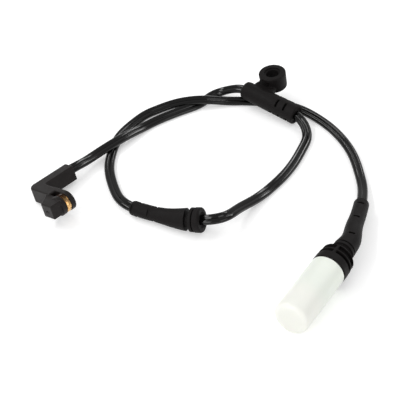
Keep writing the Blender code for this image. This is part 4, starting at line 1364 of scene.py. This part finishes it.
@dataclass
class SleeveGrommet:
    """The bent trumpet on the cable, with a clip groove near its wide end."""

    route: CableRoute
    length: float = 0.0382
    shift: float = 0.0011
    tube_radius: float = 0.0038
    end_radius: float = 0.0063
    flare: float = 0.70
    groove_at: float = 0.0060
    groove_width: float = 0.0022
    groove_radius: float = 0.0041
    nick_at: float = 0.0034
    nick_width: float = 0.0007
    nick_radius: float = 0.0053
    land_drop: float = 0.0002
    recess_radius: float = 0.0040
    recess_depth: float = 0.0009
    slot_depth: float = 0.0008
    slot_turn: float = math.radians(-52)
    slots: tuple[Sequence[float], Sequence[float]] = ((0.0275, 0.0364), (0.0248, 0.0337))

    def radius(self, length: float) -> float:
        """The radius at a length from the wide end."""
        share = min(length / (self.flare * self.length), 1.0)
        swell = 0.5 + 0.5 * math.cos(math.pi * share)
        return self.tube_radius + (self.end_radius - self.tube_radius) * swell

    def moulding(self) -> Obj:
        """The sleeve in one piece.

        Returns:
            The dressed sleeve.
        """
        near, far = self.groove_at, self.groove_at + self.groove_width
        nick, last = self.nick_at + self.nick_width, self.length - 0.0012
        wide, behind = self.end_radius, self.end_radius - self.land_drop
        outline = [
            *((length, wide - drop) for length, drop in LIP), (self.nick_at, wide),
            (self.nick_at + CORNER, self.nick_radius), (nick, self.nick_radius),
            (nick + CORNER, behind), (near - CORNER, behind), (near, self.groove_radius),
            (far, self.groove_radius), (far + CORNER, self.radius(far)),
            *stations(self.radius, far, last, 24),
            (self.length - 0.0004, self.tube_radius - 0.0003),
            (self.length, self.tube_radius - 0.0008),
        ]
        start = self.route.sleeve_start + self.shift
        sleeve = self.route.tube("sleeve_grommet_moulding", start, outline)
        hole, deep = self.recess_radius, self.recess_depth
        mouth = [(0.0, deep), (hole - 0.0006, deep), (hole, 0.3 * deep), (hole + 0.0002, -deep),
                 (0.0, -deep)]
        place = turned_axes(self.route.line.at(start), self.route.line.way(start))
        combine(sleeve, "DIFFERENCE", lathe("sleeve_mouth", mouth, place))
        cut_slots(sleeve, lambda length: self.route.tube_frame(start, length), self.radius,
                  self.slot_depth, self.slot_turn, self.slots)
        return fit(moulded(sleeve, voxel=0.00016, passes=3, keep=0.45), RUBBER, "sleeve_grommet")


@dataclass
class Plug:
    """The bend relief boot, the collar with its windows, and the dust cap."""

    route: CableRoute
    axis: PlugAxis
    collar_rim: float = 0.0044
    window_front: float = 0.0019
    window_rear: float = 0.0028
    window_rib: float = 0.0008
    window_floor: float = 0.0064
    window_pillar: float = 0.0013
    shoulder_length: float = 0.0020
    shoulder_radius: float = 0.0064
    groove_front: float = 0.0030
    groove_core: float = 0.0048
    ring_length: float = 0.0016
    overlap: float = 0.0010
    boot_radius: float = 0.0056
    boot_length: float = 0.0400
    boot_flare: float = 2.6
    tip_radius: float = 0.0039
    slot_depth: float = 0.0018
    slot_span: float = 0.0030
    slots: tuple[Sequence[float], Sequence[float]] = ((0.0049, 0.0176, 0.0330), (0.0112, 0.0250))
    cap_length: float = 0.0362
    cap_radius: float = 0.0085
    cap_draft: float = 0.0002
    cap_wall: float = 0.0015
    cap_corner: float = 0.0022
    cap_bore: float = 0.0070
    cap_bore_corner: float = 0.0007
    cap_lip: float = 0.0003

    def radius(self, length: float) -> float:
        """The boot's radius at a length from its tip."""
        swell = (length / self.boot_length) ** self.boot_flare
        return self.tip_radius + (self.boot_radius - self.tip_radius) * swell

    def boot(self) -> Obj:
        """The boot and the collar in one moulding.

        Returns:
            The dressed moulding.
        """
        start = self.route.line_end - self.boot_length
        outline = [*((length, self.tip_radius - drop) for length, drop in LIP),
                   *stations(self.radius, 0.0, self.boot_length, 30)]
        collar = self.axis.collar_radius
        row_front = self.collar_rim + self.window_front
        row_rear = row_front + self.window_rib + self.window_rear
        shoulder = row_rear + self.shoulder_length
        groove = shoulder + self.groove_front
        ring = groove + self.ring_length
        back = self.axis.collar_back + self.overlap
        profile = [
            (0.0, 0.0), (collar - 0.0004, 0.0), (collar, -0.0004), (collar, -self.collar_rim),
            (collar - 0.0003, -row_rear), (self.shoulder_radius, -shoulder),
            (self.groove_core, -shoulder), (self.groove_core, -groove),
            (self.boot_radius, -groove), (self.boot_radius, -ring),
            (self.groove_core, -ring), (self.groove_core, -back), (0.0, -back),
        ]
        boot = lathe("connector_boot_moulding", profile, self.axis.frame(), 128)
        combine(boot, "UNION", self.route.tube("boot_tube", start, outline))
        spread = math.asin(self.window_pillar / 2 / collar)
        for front, rear in ((self.collar_rim, row_front), (row_front + self.window_rib, row_rear)):
            for quarter in range(4):
                first = quarter * math.pi / 2 + spread
                last = (quarter + 1) * math.pi / 2 - spread
                shape = arc((0, 0), 1.2 * collar, first, last, 16)
                shape += arc((0, 0), self.window_floor, last, first, 20)
                place = self.axis.frame() @ Matrix.Translation((0, 0, -(front + rear) / 2))
                combine(boot, "DIFFERENCE", prism("window", shape, rear - front, place))
        cut_slots(boot, lambda length: self.route.tube_frame(start, length), self.radius,
                  self.slot_depth, 0.0, self.slots, self.slot_span)
        return fit(moulded(boot, voxel=0.00015, passes=3, keep=0.35), RUBBER, "connector_boot")

    def cap(self) -> Obj:
        """The dust cap, a drafted cup with a rounded closed end.

        Returns:
            The dressed cap.
        """
        base, end = FIT, FIT + self.cap_length
        radius = self.cap_radius - self.cap_draft
        corner, wall, lip, turn = self.cap_corner, self.cap_wall, self.cap_lip, self.cap_bore_corner
        outer = arc((radius - corner, end - corner), corner, math.pi / 2, 0.0, 14)
        inner = arc((self.cap_bore - turn, end - wall - turn), turn, 0.0, math.pi / 2, 6)
        profile = [(0.0, end), *outer, (self.cap_radius, base + lip), (self.cap_radius - lip, base),
                   (self.cap_bore, base), *inner, (0.0, end - wall)]
        cap = lathe("dust_cap_moulding", profile, self.axis.frame(), 128)
        axis = self.axis.way()
        # The cap is unpigmented polyethylene: milky white with a waxy satin surface
        finish = MilkyPolyethylene("moulded_milky_polyethylene", Slot.CAP, "#f8f9ec", 0.36, 1.51,
                                   axis=tuple(axis), collar=axis.dot(self.axis.on_axis(0.0)))
        return fit(settle(cap, Edge.CRISP), finish, "dust_cap")


@dataclass
class InnerParts:
    """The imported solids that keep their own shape: wire, insert, contacts, cores and seals."""

    nodes: dict[str, Obj]
    finishes: dict[str, Finish] = field(default_factory=lambda: {
        "sensing_loop": WIRE_INSULATION, "plug_insert": INSERT_NYLON, "contact_1": TIN_PLATE,
        "contact_2": TIN_PLATE, "core_wire_1": WIRE_INSULATION, "core_wire_2": WIRE_INSULATION,
        "wire_seal": SILICONE, "seal_ring": SILICONE,
    })

    def dress(self) -> None:
        """Give each of them its finish."""
        for name, finish in self.finishes.items():
            node = self.nodes[name]
            for place in node.material_slots:
                place.material = finish.material()
            LOG.info("%s keeps its solid, %s", name, finish.name)


@dataclass
class Studio:
    """A white card floor, soft light from all sides and the camera."""

    aim: Vector = field(default_factory=lambda: Vector((0.0004, -0.0019, 0.0)))
    distance: float = 0.510
    elevation: float = math.radians(40)
    lens: float = 90.0
    room: float = 0.53
    half_floor: float = 3.0

    def camera(self) -> None:
        """Set the camera at the photograph's viewing angle."""
        data = bpy.data.cameras.new("camera")
        data.lens = self.lens
        data.sensor_width = 36.0
        data.clip_start = 0.01
        camera = bpy.data.objects.new("camera", data)
        back = Vector((0.0, -math.cos(self.elevation), math.sin(self.elevation)))
        camera.location = self.aim + self.distance * back
        camera.rotation_euler = (math.pi / 2 - self.elevation, 0.0, 0.0)
        bpy.context.scene.collection.objects.link(camera)
        bpy.context.scene.camera = camera

    def floor(self) -> None:
        """Lay the white card."""
        half = self.half_floor
        paper = solid("paper_floor",
                      [(-half, -half, 0), (half, -half, 0), (half, half, 0), (-half, half, 0)],
                      [(0, 1, 2, 3)])
        # The floor is matte card: plain white to the eye, under soft shadows
        paper.data.materials.append(PaperSweep("matte_white_card", None, "#f0f0f0", 0.9).material())

    def lamp(self, name: str, place: Point3, width: float, height: float, power: float) -> None:
        """Hang a soft box that faces the sensor.

        Args:
            name: Its name.
            place: Where it hangs.
            width: Its width.
            height: Its height.
            power: Its power in watts.
        """
        data = bpy.data.lights.new(name, "AREA")
        data.shape = "RECTANGLE"
        data.size = width
        data.size_y = height
        data.energy = power
        lamp = bpy.data.objects.new(name, data)
        lamp.location = place
        lamp.rotation_euler = (self.aim - Vector(place)).to_track_quat("-Z", "Y").to_euler()
        bpy.context.scene.collection.objects.link(lamp)

    def light(self) -> None:
        """Light the sensor with four soft boxes in a grey room, with plain tones."""
        self.lamp("key_strip", (-0.62, 0.14, 0.78), width=1.00, height=0.16, power=3.8)
        self.lamp("rim_strip", (0.46, 0.55, 0.55), width=0.80, height=0.08, power=1.6)
        self.lamp("left_box", (-0.45, -0.60, 0.45), width=0.40, height=0.40, power=2.3)
        self.lamp("right_box", (0.62, -0.50, 0.28), width=0.50, height=0.50, power=1.5)
        bpy.context.scene.view_settings.view_transform = "Standard"
        world = bpy.data.worlds.new("grey_room")
        world.use_nodes = True
        bpy.context.scene.world = world
        world.node_tree.nodes.clear()
        room = add_node(world.node_tree, "ShaderNodeBackground", None,
                        {"Color": (1.0, 1.0, 1.0, 1.0), "Strength": self.room})
        add_node(world.node_tree, "ShaderNodeOutputWorld", None,
                 {"Surface": room.outputs["Background"]})


def main() -> None:
    """Dress the sensor, piece by piece, and report each one."""
    logging.basicConfig(level=logging.INFO, format="%(name)s: %(message)s", stream=sys.stdout)
    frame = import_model()
    studio = Studio()
    studio.camera()
    head, tee, axis = SensingHead(), TeeGrommet(), PlugAxis()
    route = CableRoute(head, tee, axis)
    TwinCable(route).jacket()
    head.housing()
    head.clip()
    tee.moulding()
    SleeveGrommet(route).moulding()
    plug = Plug(route, axis)
    plug.boot()
    plug.cap()
    InnerParts(frame["nodes"]).dress()
    studio.floor()
    studio.light()


if __name__ == "__main__":
    main()
